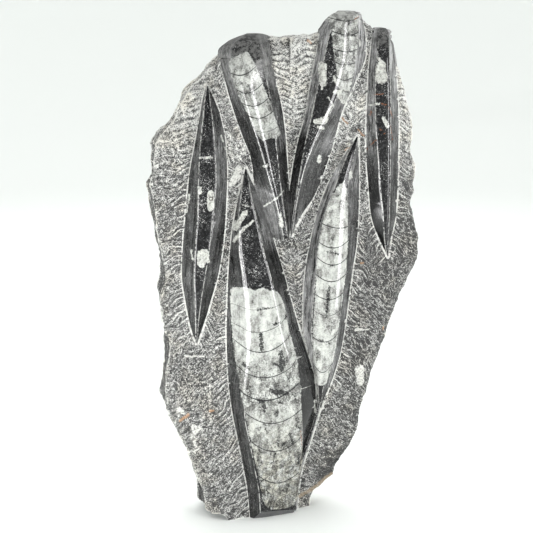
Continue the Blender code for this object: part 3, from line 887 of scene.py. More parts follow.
pick(rock)
bpy.ops.object.mode_set(mode="EDIT")
bpy.ops.mesh.select_all(action="SELECT")
bpy.ops.mesh.bisect(
    plane_co=(0, 0, 0), plane_no=(0, 0, 1), use_fill=True, clear_inner=True, threshold=1e-7
)
bpy.ops.object.mode_set(mode="OBJECT")
cut_faces = [f for f in rock.data.polygons if f.normal.z < -0.99 and f.center.z < 1e-5]
for face in cut_faces:
    face.material_index = SAWN
print("after the cuts:", len(rock.data.polygons), "faces,", len(cut_faces), "on the saw cut")

# %% [markdown]
# ## One clean body
# Carving leaves crumbs that hang in the air, and a few places where the surface touches
# itself. The crumbs are deleted, the places are mended, and every face becomes a triangle.
# The line between two finishes stays a sharp edge.

# %% Keep the one body, smooth it and mark the polish's edge
POKE_ROUNDS = 3
POKE_LIMIT = 12
TOUCH_ROUNDS = 6


def poke_shared(work):
    """Puts a point into the middle of each face that would share a diagonal with another."""
    work.verts.index_update()
    trial = work.copy()
    bmesh.ops.triangulate(trial, faces=trial.faces)
    shared = {v.index for e in trial.edges if len(e.link_faces) > 2 for v in e.verts}
    trial.free()
    risky = [f for f in work.faces if 3 < len(f.verts) < POKE_LIMIT
             and sum(v.index in shared for v in f.verts) >= 2]
    bmesh.ops.poke(work, faces=risky)


def drop_doubled(work):
    """Deletes both faces of each pair that lie back to back on the same corners."""
    lying = {}
    for face in work.faces:
        lying.setdefault(frozenset(face.verts), []).append(face)
    doubled = [face for faces in lying.values() if len(faces) > 1 for face in faces]
    bmesh.ops.delete(work, geom=doubled, context="FACES")
    return len(doubled)


def close_touching(work):
    """Collapses the short edges along which the surface touches itself and deletes faces
    that hang on by their corners alone, so that every edge has two faces."""
    for _ in range(TOUCH_ROUNDS):
        doubled = drop_doubled(work)
        touching = [e for e in work.edges if len(e.link_faces) > 2]
        print("doubled faces", doubled, "edges that touch",
              [round(e.calc_length() / MM, 2) for e in touching])
        if not touching:
            break
        bmesh.ops.collapse(work, edges=touching)
    hanging = [f for f in work.faces if all(e.is_boundary for e in f.edges)]
    bmesh.ops.delete(work, geom=hanging, context="FACES")
    print("hanging faces", len(hanging))


def largest_body(obj):
    """Deletes crumbs that the carving cut loose, and makes every face a triangle."""
    work = bmesh.new()
    work.from_mesh(obj.data)
    for _ in range(POKE_ROUNDS):
        poke_shared(work)
    bmesh.ops.triangulate(work, faces=work.faces)
    close_touching(work)
    seen, bodies = set(), []
    for start in work.verts:
        if start in seen:
            continue
        body, queue = [], [start]
        seen.add(start)
        while queue:
            vert = queue.pop()
            body.append(vert)
            for near in (e.other_vert(vert) for e in vert.link_edges):
                if near not in seen:
                    seen.add(near)
                    queue.append(near)
        bodies.append(body)
    bodies.sort(key=len)
    crumbs = [v for body in bodies[:-1] for v in body]
    bmesh.ops.delete(work, geom=crumbs, context="VERTS")
    for e in work.edges:
        two = e.link_faces
        e.smooth = len(two) == 2 and two[0].material_index == two[1].material_index
    work.to_mesh(obj.data)
    work.free()


largest_body(rock)
pick(rock)
bpy.ops.object.shade_smooth_by_angle(angle=math.radians(38.0), keep_sharp_edges=True)
print("stone:", len(rock.data.polygons), "triangles")

# %% [markdown]
# ## Reading marks from the photograph
# The fossils, their walls and the white and dark marks are read from the photograph, as
# pixels. A ray from the camera through the pixel is followed until it meets the front of
# the stone, which gives the same mark's place in millimetres. So the marks stay where they
# are seen from the photograph's angle, and lie on the stone from every other angle.

# %% From a pixel to the stone
CROWN_RISE = 9.0
FOLLOW_STEPS = 5

picture_right = camera_turn @ Vector((1.0, 0.0, 0.0))
picture_up = camera_turn @ Vector((0.0, 1.0, 0.0))
PIXEL_LENS = PICTURE_SIDE / 2 * CAMERA_DISTANCE / HALF_VIEW


def photo_point(across, down, rise=CROWN_RISE):
    """The x and z, in millimetres, of what the photograph shows at a pixel."""
    ray = (
        -camera_back * PIXEL_LENS + picture_right * (across - PICTURE_SIDE / 2)
        + picture_up * (PICTURE_SIDE / 2 - down)
    )
    level = FRONT_AT_BASE + rise
    for _ in range(FOLLOW_STEPS):
        share = (-level * MM - eye.y) / ray.y
        spot = (eye + share * ray) / MM
        level = float(ground_plane(spot.x, spot.z)) + rise
    return spot.x, spot.z


print("middle of the picture:", [round(c, 1) for c in photo_point(266.5, 266.5)])

# %% [markdown]
# ## The fossils
# Four of the shells were filled with white calcite before the mud round them turned to black
# limestone. Inside, thin curved walls part the shell into chambers, and the saw cut shows
# them as dark bows. Each fossil has its outline, and its walls from top to bottom. The first
# number says how strongly the wall is drawn, the second how mottled the calcite is there.

# %% Fossil outlines and chamber walls, in pixels of the photograph
FOSSILS = {
    "main": {
        "outline": [
            (232, 290), (232, 310), (233, 325), (234, 340), (236, 360), (239, 380), (241, 395),
            (244, 410), (247, 425), (250, 440), (253, 455), (257, 470), (260, 485), (262, 498),
            (266, 506), (272, 509), (285, 508), (298, 504), (301, 500), (303, 485), (304, 470),
            (304, 455), (303, 440), (302, 420), (301, 405), (300, 390), (299, 375), (298, 360),
            (294, 345), (291, 335), (289, 325), (287, 313), (283, 300), (279, 291), (270, 290),
            (262, 287), (255, 290), (246, 287), (238, 288),
        ],
        "walls": [
            (0.45, 0.12, (240, 307), (262, 309), (278, 305)),
            (0.55, 0.15, (236, 326), (262, 331), (287, 318)),
            (1.0, 0.3, (235, 341), (262, 351), (291, 334)),
            (1.0, 0.7, (237, 367), (262, 376.5), (298, 360)),
            (1.7, 1.0, (241, 391), (268, 399), (298, 382)),
            (1.1, 0.45, (243, 410), (270, 422), (301, 408)),
            (1.1, 0.75, (248, 438), (274, 450), (303, 434)),
            (1.2, 0.85, (257, 474), (279, 482), (304, 466)),
        ],
    },
    "top_left": {
        "outline": [
            (230, 61), (232, 75), (236, 87), (240, 98), (245, 108), (250, 117), (254, 127),
            (257, 134), (263, 141), (272, 138), (283, 142), (283, 137), (280, 128), (276, 117),
            (273, 108), (270, 100), (266, 90), (262, 80), (258, 70), (253, 60), (248, 51),
        ],
        "walls": [
            (1.1, 0.45, (231, 74), (243, 75), (257, 66)),
            (1.0, 0.5, (237, 91), (251, 92.5), (264, 83)),
            (1.0, 0.45, (242, 103), (256, 106), (270, 98)),
            (1.0, 0.5, (249, 116), (262, 118), (275, 111)),
            (0.5, 0.4, (256, 131), (268, 132), (280, 127)),
        ],
    },
    "top_right": {
        "outline": [
            (331, 4), (331, 12), (332, 30), (333, 50), (336, 65), (338, 85), (341, 94), (345, 104),
            (350, 105), (352, 92), (355, 80), (357, 65), (359, 50), (361, 30), (361, 14), (361, 4),
        ],
        "walls": [
            (0.8, 0.6, (332, 18), (348, 21), (361, 18)),
            (1.2, 0.7, (332, 31), (347, 35), (361, 33)),
            (0.9, 0.75, (332, 48), (347, 52), (359, 50)),
            (1.2, 0.6, (335, 62), (347, 65), (357, 63)),
            (1.2, 0.45, (338, 78), (347, 81), (355, 79)),
            (1.2, 0.4, (341, 90), (347, 93), (352, 93)),
        ],
    },
    "middle": {
        "outline": [
            (345, 181), (338, 187), (333, 195), (329, 203), (325, 215), (322, 228), (320, 240),
            (318, 252), (317, 265), (316, 280), (315, 295), (314, 310), (313, 325), (313, 340),
            (314, 355), (316, 370), (317, 387), (328, 387), (330, 380), (334, 365), (337, 350),
            (339, 335), (341, 320), (343, 305), (345, 290), (347, 275), (348, 260), (349, 245),
            (349, 200), (347, 190),
        ],
        "walls": [
            (0.9, 0.5, (323, 224), (336, 228), (349, 227)),
            (1.0, 0.2, (320, 243), (334, 248), (349, 241)),
            (1.0, 0.25, (318, 258), (333, 265), (348, 258)),
            (1.0, 0.25, (317, 275), (331, 281.5), (346, 275)),
            (1.0, 0.3, (315, 294), (329, 299.5), (344, 293)),
            (0.6, 0.4, (314, 310), (328, 315.5), (342, 309)),
            (0.9, 0.45, (313, 337), (326, 342), (339, 334)),
            (0.9, 0.35, (315, 366), (326, 373), (333, 365)),
        ],
    },
}

fossil_outlines = {
    name: np.array([photo_point(*p) for p in fossil["outline"]])
    for name, fossil in FOSSILS.items()
}
print({name: len(fossil["walls"]) for name, fossil in FOSSILS.items()}, "walls")

# %% [markdown]
# ## Measuring from the fossils
# The finish has to know for each point how far inside a fossil it is, and where it lies
# between two chamber walls. Each wall is a parabola through the three points that were read.

# %% How far inside a fossil, and in which chamber
def signed_distance(x, z, corners):
    """Distance from a closed outline in millimetres, above 0 inside it."""
    inside = np.zeros(len(x), bool)
    for (ax, az), (bx, bz) in zip(corners, np.roll(corners, -1, axis=0)):
        between_z = (az > z) != (bz > z)
        if az != bz:
            inside ^= between_z & (x < (bx - ax) * (z - az) / (bz - az) + ax)
    away = edge_distance(x, z, corners)
    return np.where(inside, away, -away)


def chamber_place(x, z, walls):
    """A number that grows by 1 from each wall to the next one down, the millimetres between
    them, how strong the nearest wall is drawn, and how mottled the calcite is."""
    levels, strengths, mottles = [], [], []
    for strength, mottle, *pixels in walls:
        spots = np.array([photo_point(*p) for p in pixels])
        curve = np.polyfit(spots[:, 0], spots[:, 1], 2)
        reach = spots[-1, 0] - spots[0, 0]
        at = np.clip(x, spots[0, 0] - 0.1 * reach, spots[-1, 0] + 0.1 * reach)
        levels.append(np.polyval(curve, at))
        strengths.append(strength)
        mottles.append(mottle)
    levels = np.array(levels)
    first, last = levels[0] - levels[1], levels[-2] - levels[-1]
    levels = np.concatenate([[levels[0] + first], levels, [levels[-1] - last]])
    number = np.full(len(x), -1.0)
    gap = np.full(len(x), 10.0)
    for i in range(len(levels) - 1):
        space = np.maximum(levels[i] - levels[i + 1], 1.0)
        share = (levels[i] - z) / space
        here = (share >= 0) & ((share < 1) | (i == len(levels) - 2))
        number = np.where(here, i - 1 + np.minimum(share, 1.0), number)
        gap = np.where(here, space, gap)
    drawn = np.interp(number, np.arange(-1, len(strengths) + 1), [0.0, *strengths, 0.0])
    mottled = np.interp(number, np.arange(len(mottles)), mottles)
    return number, gap, drawn, mottled


# %% [markdown]
# ## What each point of the stone knows
# A finish that changes from place to place has to know where it is. These numbers are kept
# on the points of the mesh as attributes: how far inside a fossil, in which chamber, how far
# down a shell's side, how far from a shell's foot, and how far the point stands out from its
# neighbours. A distance changes evenly from point to point, so the line where it passes zero
# stays sharp in the finish, even between points.

# %% Attributes
# How pale the ground sides of the shells are, by height; the paler sides are also made duller. The
# paleness is partly the sides' own grey and partly painted reflection of the bright surroundings
# that the polish mirrors.
SIDE_TONES_AND_REFLECTIONS = {
    "left": {
        "left": [(131, 0.015), (168, 0.03), (180, 0.045), (200, 0.025), (280, 0.035), (310, 0.09)],
        "right": [(140, 0.01), (168, 0.012), (180, 0.035), (208, 0.012), (222, 0.03), (264, 0.07),
                  (291, 0.03), (310, 0.03)],
    },
    "top_left": {
        "left": [(203, 0.06), (232, 0.055), (246, 0.02), (262, 0.012), (287, 0.018), (301, 0.05),
                 (315, 0.08), (330, 0.09), (342, 0.07)],
        "right": [(203, 0.04), (246, 0.015), (262, 0.012), (273, 0.05), (287, 0.04), (301, 0.03),
                  (320, 0.07), (330, 0.10), (342, 0.09)],
    },
    "main": {
        "left": [(0, 0.015), (60, 0.02), (97, 0.02), (150, 0.03), (190, 0.02), (208, 0.05),
                 (254, 0.06)],
        "right": [(0, 0.01), (83, 0.004), (111, 0.015), (150, 0.04), (180, 0.012), (194, 0.008),
                  (208, 0.07), (222, 0.03), (254, 0.08)],
    },
    "top_right": {
        "left": [(205, 0.05), (218, 0.06), (232, 0.02), (246, 0.008), (274, 0.004), (284, 0.09),
                 (310, 0.13), (330, 0.10), (345, 0.12), (357, 0.16)],
        "right": [(205, 0.07), (218, 0.075), (232, 0.02), (246, 0.02), (260, 0.03),
                  (288, 0.05), (302, 0.12), (315, 0.15), (329, 0.12), (343, 0.18), (357, 0.20)],
    },
    "right": {
        "left": [(187, 0.001), (236, 0.001), (250, 0.015), (263, 0.05), (277, 0.08), (291, 0.10),
                 (305, 0.15), (319, 0.08), (333, 0.12), (347, 0.16)],
        "right": [(187, 0.035), (222, 0.03), (250, 0.035), (277, 0.06), (291, 0.09), (305, 0.10),
                  (319, 0.14), (333, 0.22), (347, 0.20)],
    },
    "middle": {
        "left": [(77, 0.06), (92, 0.10), (106, 0.16), (134, 0.14), (148, 0.11), (175, 0.12),
                 (189, 0.085), (203, 0.085), (231, 0.11), (245, 0.17), (274, 0.18)],
        "right": [(77, 0.01), (92, 0.01), (100, 0.10), (106, 0.13), (120, 0.06), (134, 0.035),
                  (148, 0.06), (161, 0.045), (203, 0.035), (231, 0.04), (245, 0.08), (259, 0.08)],
    },
    "lower_bevel": {"left": [(0, 0.02)], "right": [(0, 0.16), (80, 0.12)]},
}
MEETING_LEVEL = 1.0
LEAST_STEEP = 2.0


def shell_place(x, z):
    """For each point: how far it lies down a shell's side, 0 on a crown; how pale the side is
    there, partly as painted reflection; and how much the shell's end is rounded there, from 0 to 1."""
    top = np.full(len(x), -1e9)
    side = np.zeros(len(x))
    tone = np.zeros(len(x))
    rounded = np.zeros(len(x))
    for name in SHELLS:
        rows = shell_rows(name, FOOT_POINTS)
        at = np.clip(z, rows[0, 0], rows[-1, 0])
        foot_l, ridge_l, ridge_r, foot_r, rise = (
            np.interp(at, rows[:, 0], rows[:, k]) for k in range(1, 6)
        )
        left, right = ridge_l - x, x - ridge_r
        steep = np.maximum(rise, LEAST_STEEP)
        slope_l = steep / np.maximum(ridge_l - foot_l, 0.5)
        slope_r = steep / np.maximum(foot_r - ridge_r, 0.5)
        level = rise - np.maximum(left, 0) * slope_l - np.maximum(right, 0) * slope_r
        level -= 5.0 * np.abs(z - at)
        higher = level > top
        down = np.maximum(right, 0) + np.maximum(left, 0)
        meeting = np.abs(level - top) < MEETING_LEVEL
        side = np.where(meeting, np.maximum(side, down), np.where(higher, down, side))
        top = np.where(higher, level, top)
        pale = [np.interp(z, *zip(*SIDE_TONES_AND_REFLECTIONS[name][way])) for way in ("left", "right")]
        middle = (ridge_l + ridge_r) / 2
        tone = np.where(higher, np.where(x < middle, pale[0], pale[1]), tone)
        low, high = SHELL_FORMS[name].get("dull", (400.0, 401.0))
        rounded = np.where(higher, smooth_step((z - low) / (high - low)), rounded)
    return side, tone, rounded


def neighbour_mean(points, edges, rounds):
    """The points after each one has moved to the middle of its neighbours a few times."""
    count = np.bincount(edges.ravel(), minlength=len(points)).astype(float)
    for _ in range(rounds):
        total = np.zeros_like(points)
        for axis in range(3):
            total[:, axis] = np.bincount(
                edges[:, 0], points[edges[:, 1], axis], len(points)
            ) + np.bincount(edges[:, 1], points[edges[:, 0], axis], len(points))
        points = 0.5 * points + 0.5 * total / count[:, None]
    return points


def keep(name, values):
    layer = rock.data.attributes.new(name, "FLOAT", "POINT")
    layer.data.foreach_set("value", np.asarray(values, np.float32))


points = read_points(rock.data)
normals = read(rock.data.vertices, "normal")
edges = read(rock.data.edges, "vertices", 2, int)
x, z = points[:, 0], points[:, 2]

inside = np.full(len(x), -1e9)
chamber, wall_strength, mottle = np.zeros(len(x)), np.zeros(len(x)), np.zeros(len(x))
chamber_gap = np.full(len(x), 10.0)
for name, fossil in FOSSILS.items():
    depth = signed_distance(x, z, fossil_outlines[name])
    nearer = depth > inside
    inside = np.where(nearer, depth, inside)
    number, gap, drawn, mottled = chamber_place(x, z, fossil["walls"])
    chamber = np.where(nearer, number, chamber)
    chamber_gap = np.where(nearer, gap, chamber_gap)
    wall_strength = np.where(nearer, drawn, wall_strength)
    mottle = np.where(nearer, mottled, mottle)
inside = np.where(points[:, 1] < 0.0, inside, -50.0)

foot_away, comb_place, comb_number, gap_width, comb_past = comb_coordinates(x, z)
combed = smooth_step((-points[:, 1] / np.maximum(front_level(x, z), 4.0) - 0.45) / 0.4)
combed *= 1.0 - smooth_step(comb_past / TIP_FADE)
fine = points - neighbour_mean(points, edges, 2)
broad = points - neighbour_mean(points, edges, 14)
side, side_tone_and_reflection, rounded = shell_place(x, z)
fine_relief, broad_relief = ((shift * normals).sum(axis=1) for shift in (fine, broad))
for name, values in {
    "inside": inside, "chamber": chamber, "chamber_gap": chamber_gap,
    "wall_strength": wall_strength, "mottle": mottle, "side": side, "side_tone_and_reflection": side_tone_and_reflection,
    "rounded": rounded, "front": smooth_step((-points[:, 1] - 4.0) / 5.0), "combed": combed,
    "away": foot_away, "gap_width": gap_width,
    "stroke": stroke_phases(x, z, comb_place, comb_number),
    "fine_relief": fine_relief, "broad_relief": broad_relief,
}.items():
    keep(name, values)
print("relief spread:", [round(float(r.std()), 3) for r in (fine_relief, broad_relief)], "mm")

# %% [markdown]
# ## Tools for the finishes
# A finish is a small network of nodes. These helpers add a node, set it, and give back what
# it gives out, which can then be added, multiplied and faded like a number. So each finish
# below reads like a list of steps. All patterns are measured in millimetres on the stone.

# %% Node helpers
MIX_COLOURS = (6, 7)
MIXED_COLOUR = 2


class Value:
    """What a node gives out. It is used in sums like a number, and each sum adds a node."""

    def __init__(self, socket):
        self.socket = socket

    def __add__(self, other):
        return calc("ADD", self, other)

    def __sub__(self, other):
        return calc("SUBTRACT", self, other)

    def __rsub__(self, other):
        return calc("SUBTRACT", other, self)

    def __mul__(self, other):
        return calc("MULTIPLY", self, other)

    def __truediv__(self, other):
        return calc("DIVIDE", self, other)

    def __abs__(self):
        return calc("ABSOLUTE", self)


def fill(socket, value):
    """Links an input to what another node gives out, or sets it to a number or a colour."""
    if isinstance(value, Value):
        socket.id_data.links.new(value.socket, socket)
    else:
        socket.default_value = value


def put(kind, values, give=0, **settings):
    """Adds a node beside the ones that its values come from, sets it and fills its inputs."""
    tree = next(v.socket.id_data for v in values.values() if isinstance(v, Value))
    made = tree.nodes.new(kind)
    for key, value in settings.items():
        setattr(made, key, value)
    for key, value in values.items():
        fill(made.inputs[key], value)
    return Value(made.outputs[give])


def calc(operation, *values, clamp=False):
    return put("ShaderNodeMath", dict(enumerate(values)), operation=operation, use_clamp=clamp)


def vector_calc(operation, *values):
    gives_number = operation in ("DOT_PRODUCT", "DISTANCE")
    return put("ShaderNodeVectorMath", dict(enumerate(values)), int(gives_number),
               operation=operation)


def scaled(place, scale):
    return vector_calc("MULTIPLY", place, scale)


def stretched(place, turn_y, scale):
    """The place turned round y and stretched, for a pattern with a grain."""
    turned = put("ShaderNodeVectorRotate", {"Vector": place, "Angle": turn_y},
                 rotation_type="Y_AXIS")
    return scaled(turned, scale)


def known(tree, name):
    """A number that is kept on the stone's points."""
    made = tree.nodes.new("ShaderNodeAttribute")
    made.attribute_name = name
    return Value(made.outputs["Fac"])


def place_in_mm(tree):
    coordinates = Value(tree.nodes.new("ShaderNodeTexCoord").outputs["Object"])
    return scaled(coordinates, (1000.0, 1000.0, 1000.0))


def cloud(place, size, detail=2.0, roughness=0.55):
    """Noise whose blotches are about `size` millimetres wide."""
    return put("ShaderNodeTexNoise", {
        "Vector": place, "Scale": 1.0 / size, "Detail": detail, "Roughness": roughness})


def fade(value, low, high):
    """0 below `low`, 1 above `high`, and a smooth change between."""
    return put("ShaderNodeMapRange", {"Value": value, "From Min": low, "From Max": high},
               interpolation_type="SMOOTHSTEP")


def spread(value, to, start=(0.0, 1.0)):
    """The value moved evenly from the range `start` to the range `to`, and held inside it."""
    return put("ShaderNodeMapRange", {
        "Value": value, "From Min": start[0], "From Max": start[1],
        "To Min": to[0], "To Max": to[1]})


def blend(share, first, second, way="MIX"):
    """Mixes two colours: `share` 0 gives the first, 1 the second."""
    values = {0: share}
    for place, colour in zip(MIX_COLOURS, (first, second)):
        values[place] = colour if isinstance(colour, Value) else (*colour, 1.0)
    return put("ShaderNodeMix", values, MIXED_COLOUR, data_type="RGBA", blend_type=way)


def tones(value, stops):
    """A colour ramp through greys or colours, each stop a place and a colour."""
    made = put("ShaderNodeValToRGB", {"Fac": value})
    ramp = made.socket.node.color_ramp
    while len(ramp.elements) < len(stops):
        ramp.elements.new(0.5)
    for element, (at, colour) in zip(ramp.elements, stops):
        element.position = at
        element.color = (*colour, 1.0)
    return made


def dented(height, distance, normal=None):
    """The surface's direction under a relief that is `distance` millimetres high."""
    values = {"Height": height, "Distance": distance * MM}
    if normal is not None:
        values["Normal"] = normal
    return put("ShaderNodeBump", values)


def feed(shader, name, value):
    fill(shader.inputs[name], value)


# %% [markdown]
# ## Single marks
# Small fossils, calcite patches, cracks and scratches are each a short stroke: a line from
# one point to another, with a radius at each end. A node group measures how deep a point
# lies inside such a stroke, and the deepest of all strokes makes the mark.

# %% One stroke as a node group
# Each stroke hands the place on to the next, moved too little to be seen. So the renderer works
# through them one after another, and never has to hold all of them at once.
HAND_ON = 1e-7


def stroke_group():
    group = bpy.data.node_groups.new("stroke_depth", "ShaderNodeTree")
    for name, kind in (
        ("Place", "NodeSocketVector"), ("Deepest", "NodeSocketFloat"),
        ("Start", "NodeSocketVector"), ("Run", "NodeSocketVector"),
        ("Start Radius", "NodeSocketFloat"), ("Radius Change", "NodeSocketFloat"),
    ):
        group.interface.new_socket(name, in_out="INPUT", socket_type=kind)
    group.interface.new_socket("Place", in_out="OUTPUT", socket_type="NodeSocketVector")
    group.interface.new_socket("Deepest", in_out="OUTPUT", socket_type="NodeSocketFloat")
    given = {s.name: Value(s) for s in group.nodes.new("NodeGroupInput").outputs if s.name}
    result = group.nodes.new("NodeGroupOutput").inputs
    from_start = vector_calc("SUBTRACT", given["Place"], given["Start"])
    ahead = vector_calc("DOT_PRODUCT", from_start, given["Run"])
    whole = vector_calc("DOT_PRODUCT", given["Run"], given["Run"])
    share = calc("DIVIDE", ahead, whole, clamp=True)
    nearest = put("ShaderNodeVectorMath", {0: given["Run"], "Scale": share}, operation="SCALE")
    away = vector_calc("DISTANCE", from_start, nearest)
    radius = calc("MULTIPLY_ADD", share, given["Radius Change"], given["Start Radius"])
    deepest = calc("MAXIMUM", radius - away, given["Deepest"])
    fill(result["Deepest"], deepest)
    fill(result["Place"], vector_calc("MULTIPLY_ADD", deepest, (HAND_ON,) * 3, given["Place"]))
    return group


stroke_depth = stroke_group()
PIXEL_MM = 0.71


def deepest_stroke(place, marks, rise=CROWN_RISE):
    """How deep each point lies in the deepest of these marks, in millimetres. A mark is
    (start pixel, end pixel, radius in pixels at the start, radius at the end)."""
    deepest = -100.0
    for start, end, radius, end_radius in marks:
        if start == end:
            end = (end[0] + 0.5, end[1])
        ax, az = photo_point(*start, rise)
        bx, bz = photo_point(*end, rise)
        deepest = put("ShaderNodeGroup", {
            "Place": place, "Deepest": deepest, "Start": (ax, 0.0, az),
            "Run": (bx - ax, 0.0, bz - az), "Start Radius": radius * PIXEL_MM,
            "Radius Change": (end_radius - radius) * PIXEL_MM,
        }, "Deepest", node_tree=stroke_depth)
        place = Value(deepest.socket.node.outputs["Place"])
    return place, deepest


def ragged(place, size, amount):
    """The place seen from the front, shaken a little, so that outlines come out ragged."""
    flat = scaled(place, (1.0, 0.0, 1.0))
    shake = put("ShaderNodeTexNoise", {"Vector": place, "Scale": 1.0 / size, "Detail": 2.0},
                "Color")
    shake = vector_calc("SUBTRACT", shake, (0.5, 0.5, 0.5))
    return vector_calc("ADD", flat, scaled(shake, (2.0 * amount, 0.0, 2.0 * amount)))


# %% [markdown]
# ## Where the marks are
# White marks are small fossils, crumbs and veins of calcite. Dark marks are specks and veins
# in the white chambers. Rust has crept along a few fine cracks, the polish is dull in one
# spot, and two small round fossils show as rings.

# %% The marks, in pixels of the photograph
WHITE_MARKS = [
    ((202, 255), (202, 264), 5.0, 4.0), ((206, 253), (208, 262), 3.0, 2.0),
    ((211, 194), (211, 208), 3.2, 3.4), ((200, 189), (200, 193), 1.8, 1.5),
    ((201, 158), (212, 158), 1.0, 1.0), ((191, 197), (188, 214), 1.0, 0.6),
    ((192, 251), (193, 260), 0.8, 0.8), ((245.6, 213.6), (235.6, 230.4), 2.4, 2.4),
    ((235, 243), (243, 230), 1.2, 1.6), ((243, 230), (254, 221), 1.6, 0.8),
    ((244, 206), (252, 208), 0.5, 0.4),
    ((264, 167), (268, 165), 1.0, 0.8), ((266, 208), (272, 203), 0.7, 0.7),
    ((272, 203), (284, 192), 0.7, 0.5), ((282, 226), (281, 214), 2.4, 0.8),
    ((323, 66), (323, 83), 3.4, 3.2), ((322, 84), (322, 89), 2.6, 0.8),
    ((316, 122), (325, 120), 2.6, 3.4), ((318, 127), (324, 129), 1.6, 1.2),
    ((321, 158), (321, 162), 2.2, 2.2), ((334, 77), (337, 84), 1.4, 1.2),
    ((335, 92), (350, 91), 1.8, 1.2), ((340, 96), (346, 104), 2.4, 1.2),
    ((328, 97), (334, 106), 0.5, 0.5), ((333, 104), (327, 115), 0.9, 1.6),
    ((327, 115), (320, 128), 1.4, 0.6),
    ((382, 66), (382, 78), 4.5, 6.0), ((380, 59), (383, 64), 1.4, 2.0),
    ((372, 106), (380, 104), 0.8, 0.8), ((384, 118), (388, 126), 1.6, 2.2),
    ((352, 174), (352, 178), 2.0, 2.0), ((317, 404), (317.5, 415), 1.1, 0.8),
    ((362, 42), (362, 46), 1.2, 1.0), ((223, 137), (225, 143), 0.9, 0.5),
]
DARK_MARKS = [
    ((260, 333), (261, 348), 1.8, 2.2), ((280, 352), (281, 362), 2.2, 3.2),
    ((282, 360), (281, 369), 3.2, 2.2), ((272, 362), (280, 366), 1.4, 1.6),
    ((244, 364), (248, 368), 1.6, 1.2), ((270, 389), (276, 391), 2.2, 3.2),
    ((277, 390), (286, 392), 3.0, 2.2), ((258, 399), (263, 401), 2.0, 1.6),
    ((264, 404), (264, 406), 0.8, 1.2), ((263, 409), (263, 411), 1.1, 0.8),
    ((279, 401), (281, 402), 1.4, 0.9), ((264, 422), (266, 432), 0.7, 0.5),
    ((277, 436), (277, 445), 1.1, 0.7), ((282, 443), (286, 441), 1.2, 0.9),
    ((270, 421), (269, 424), 0.6, 0.5), ((274, 452), (273, 459), 0.8, 1.0),
    ((259, 450), (260, 451), 1.0, 0.9), ((261, 461), (261, 462), 1.1, 1.0),
    ((298, 458), (299, 462), 1.2, 1.6), ((288, 484), (288, 486), 1.2, 1.0),
    ((266, 489), (268, 492), 0.8, 0.7), ((296, 425), (300, 427), 1.0, 1.3),
    ((289, 433), (292, 441), 0.9, 1.2), ((283, 490), (284, 491), 1.0, 0.8),
    ((257, 309), (271, 307), 0.5, 0.4), ((273, 324), (279, 322), 1.2, 1.0),
    ((286, 316), (286.5, 319), 1.2, 0.8),
    ((248, 86), (256, 99), 0.9, 0.6), ((329, 286), (328, 300), 0.8, 1.8),
    ((328, 300), (326, 317), 1.8, 0.6), ((327, 252), (338, 254), 0.9, 1.1),
    ((332, 266), (333, 266), 1.2, 1.0), ((321, 341), (322, 341), 1.4, 1.2),
    ((329, 343), (330, 344), 1.0, 1.0), ((336, 53), (337, 55), 1.4, 1.8),
    ((348, 63), (349, 64), 1.3, 1.0), ((353, 36), (359, 36), 0.7, 0.7),
    ((350, 51), (351, 52), 1.2, 1.0), ((344, 91), (350, 93), 0.7, 1.0),
]
RUST_MARKS = [
    ((375, 95), (384, 94), 0.4, 0.6), ((382, 104), (389, 106), 0.7, 0.8),
    ((389, 106), (394, 118), 0.6, 0.7), ((373, 112), (372, 116), 0.8, 0.8),
    ((380, 129), (385, 134), 0.5, 0.7), ((391, 125), (394, 140), 0.4, 0.6),
    ((366, 122), (360, 130), 0.5, 0.5), ((377, 140), (369, 152), 0.4, 0.5),
    ((355, 20), (361, 17), 0.5, 0.6), ((300, 430), (302, 445), 0.5, 0.6),
]
DULL_MARKS = [((262, 200), (276, 236), 8.0, 7.0)]
RING_MARKS = [((283, 498), (283, 498), 2.1, 2.1), ((211, 199), (211, 199), 1.5, 1.5)]
print("marks:", len(WHITE_MARKS), len(DARK_MARKS), len(RUST_MARKS))

# %% [markdown]
# ## The polished limestone
# Polished, the limestone is nearly black and mirrors its surroundings. The calcite in the
# fossils is milky and cloudy, with dark specks and dark bows where the chamber walls are cut.
# The ground sides of the shells show fine streaks along the way the disc ran. One material
# holds all three, because the polish runs over them without a step.

# %% Polished finish
INK = (0.010, 0.010, 0.011)
RUST = (0.22, 0.085, 0.04)
SCRATCH_GREY = (0.34, 0.34, 0.33)
DUST_GREY = (0.36, 0.36, 0.35)
SPECK_GREY = (0.4, 0.4, 0.395)
HAIR_GREY = (0.3, 0.3, 0.295)
HAZE_GREY = (0.17, 0.17, 0.165)
PAINTED_HIGHLIGHT_GREY = (0.52, 0.52, 0.5)
WARM_CALCITE = (0.8, 0.76, 0.66)
SMOKE_GREY = (0.17, 0.17, 0.16)
RING_BROWN = (0.05, 0.04, 0.03)
CROWN_TONES = [
    (0.36, (0.004, 0.004, 0.004)),
    (0.52, (0.012, 0.012, 0.013)),
    (0.68, (0.06, 0.06, 0.06)),
]
CALCITE_TONES = [
    (0.26, (0.022, 0.022, 0.022)),
    (0.36, (0.11, 0.11, 0.104)),
    (0.43, (0.24, 0.24, 0.228)),
    (0.51, (0.37, 0.38, 0.36)),
    (0.62, (0.52, 0.53, 0.5)),
]
MILKY_TONES = [(0.36, (0.16, 0.16, 0.15)), (0.46, (0.34, 0.34, 0.32)), (0.6, (0.56, 0.57, 0.53))]
WALL_HALF_WIDTH = 0.20
LOWER_CHAMBERS_Z = 95.0
POLISH_IOR = 1.36
CRYSTAL_MM = 4.2


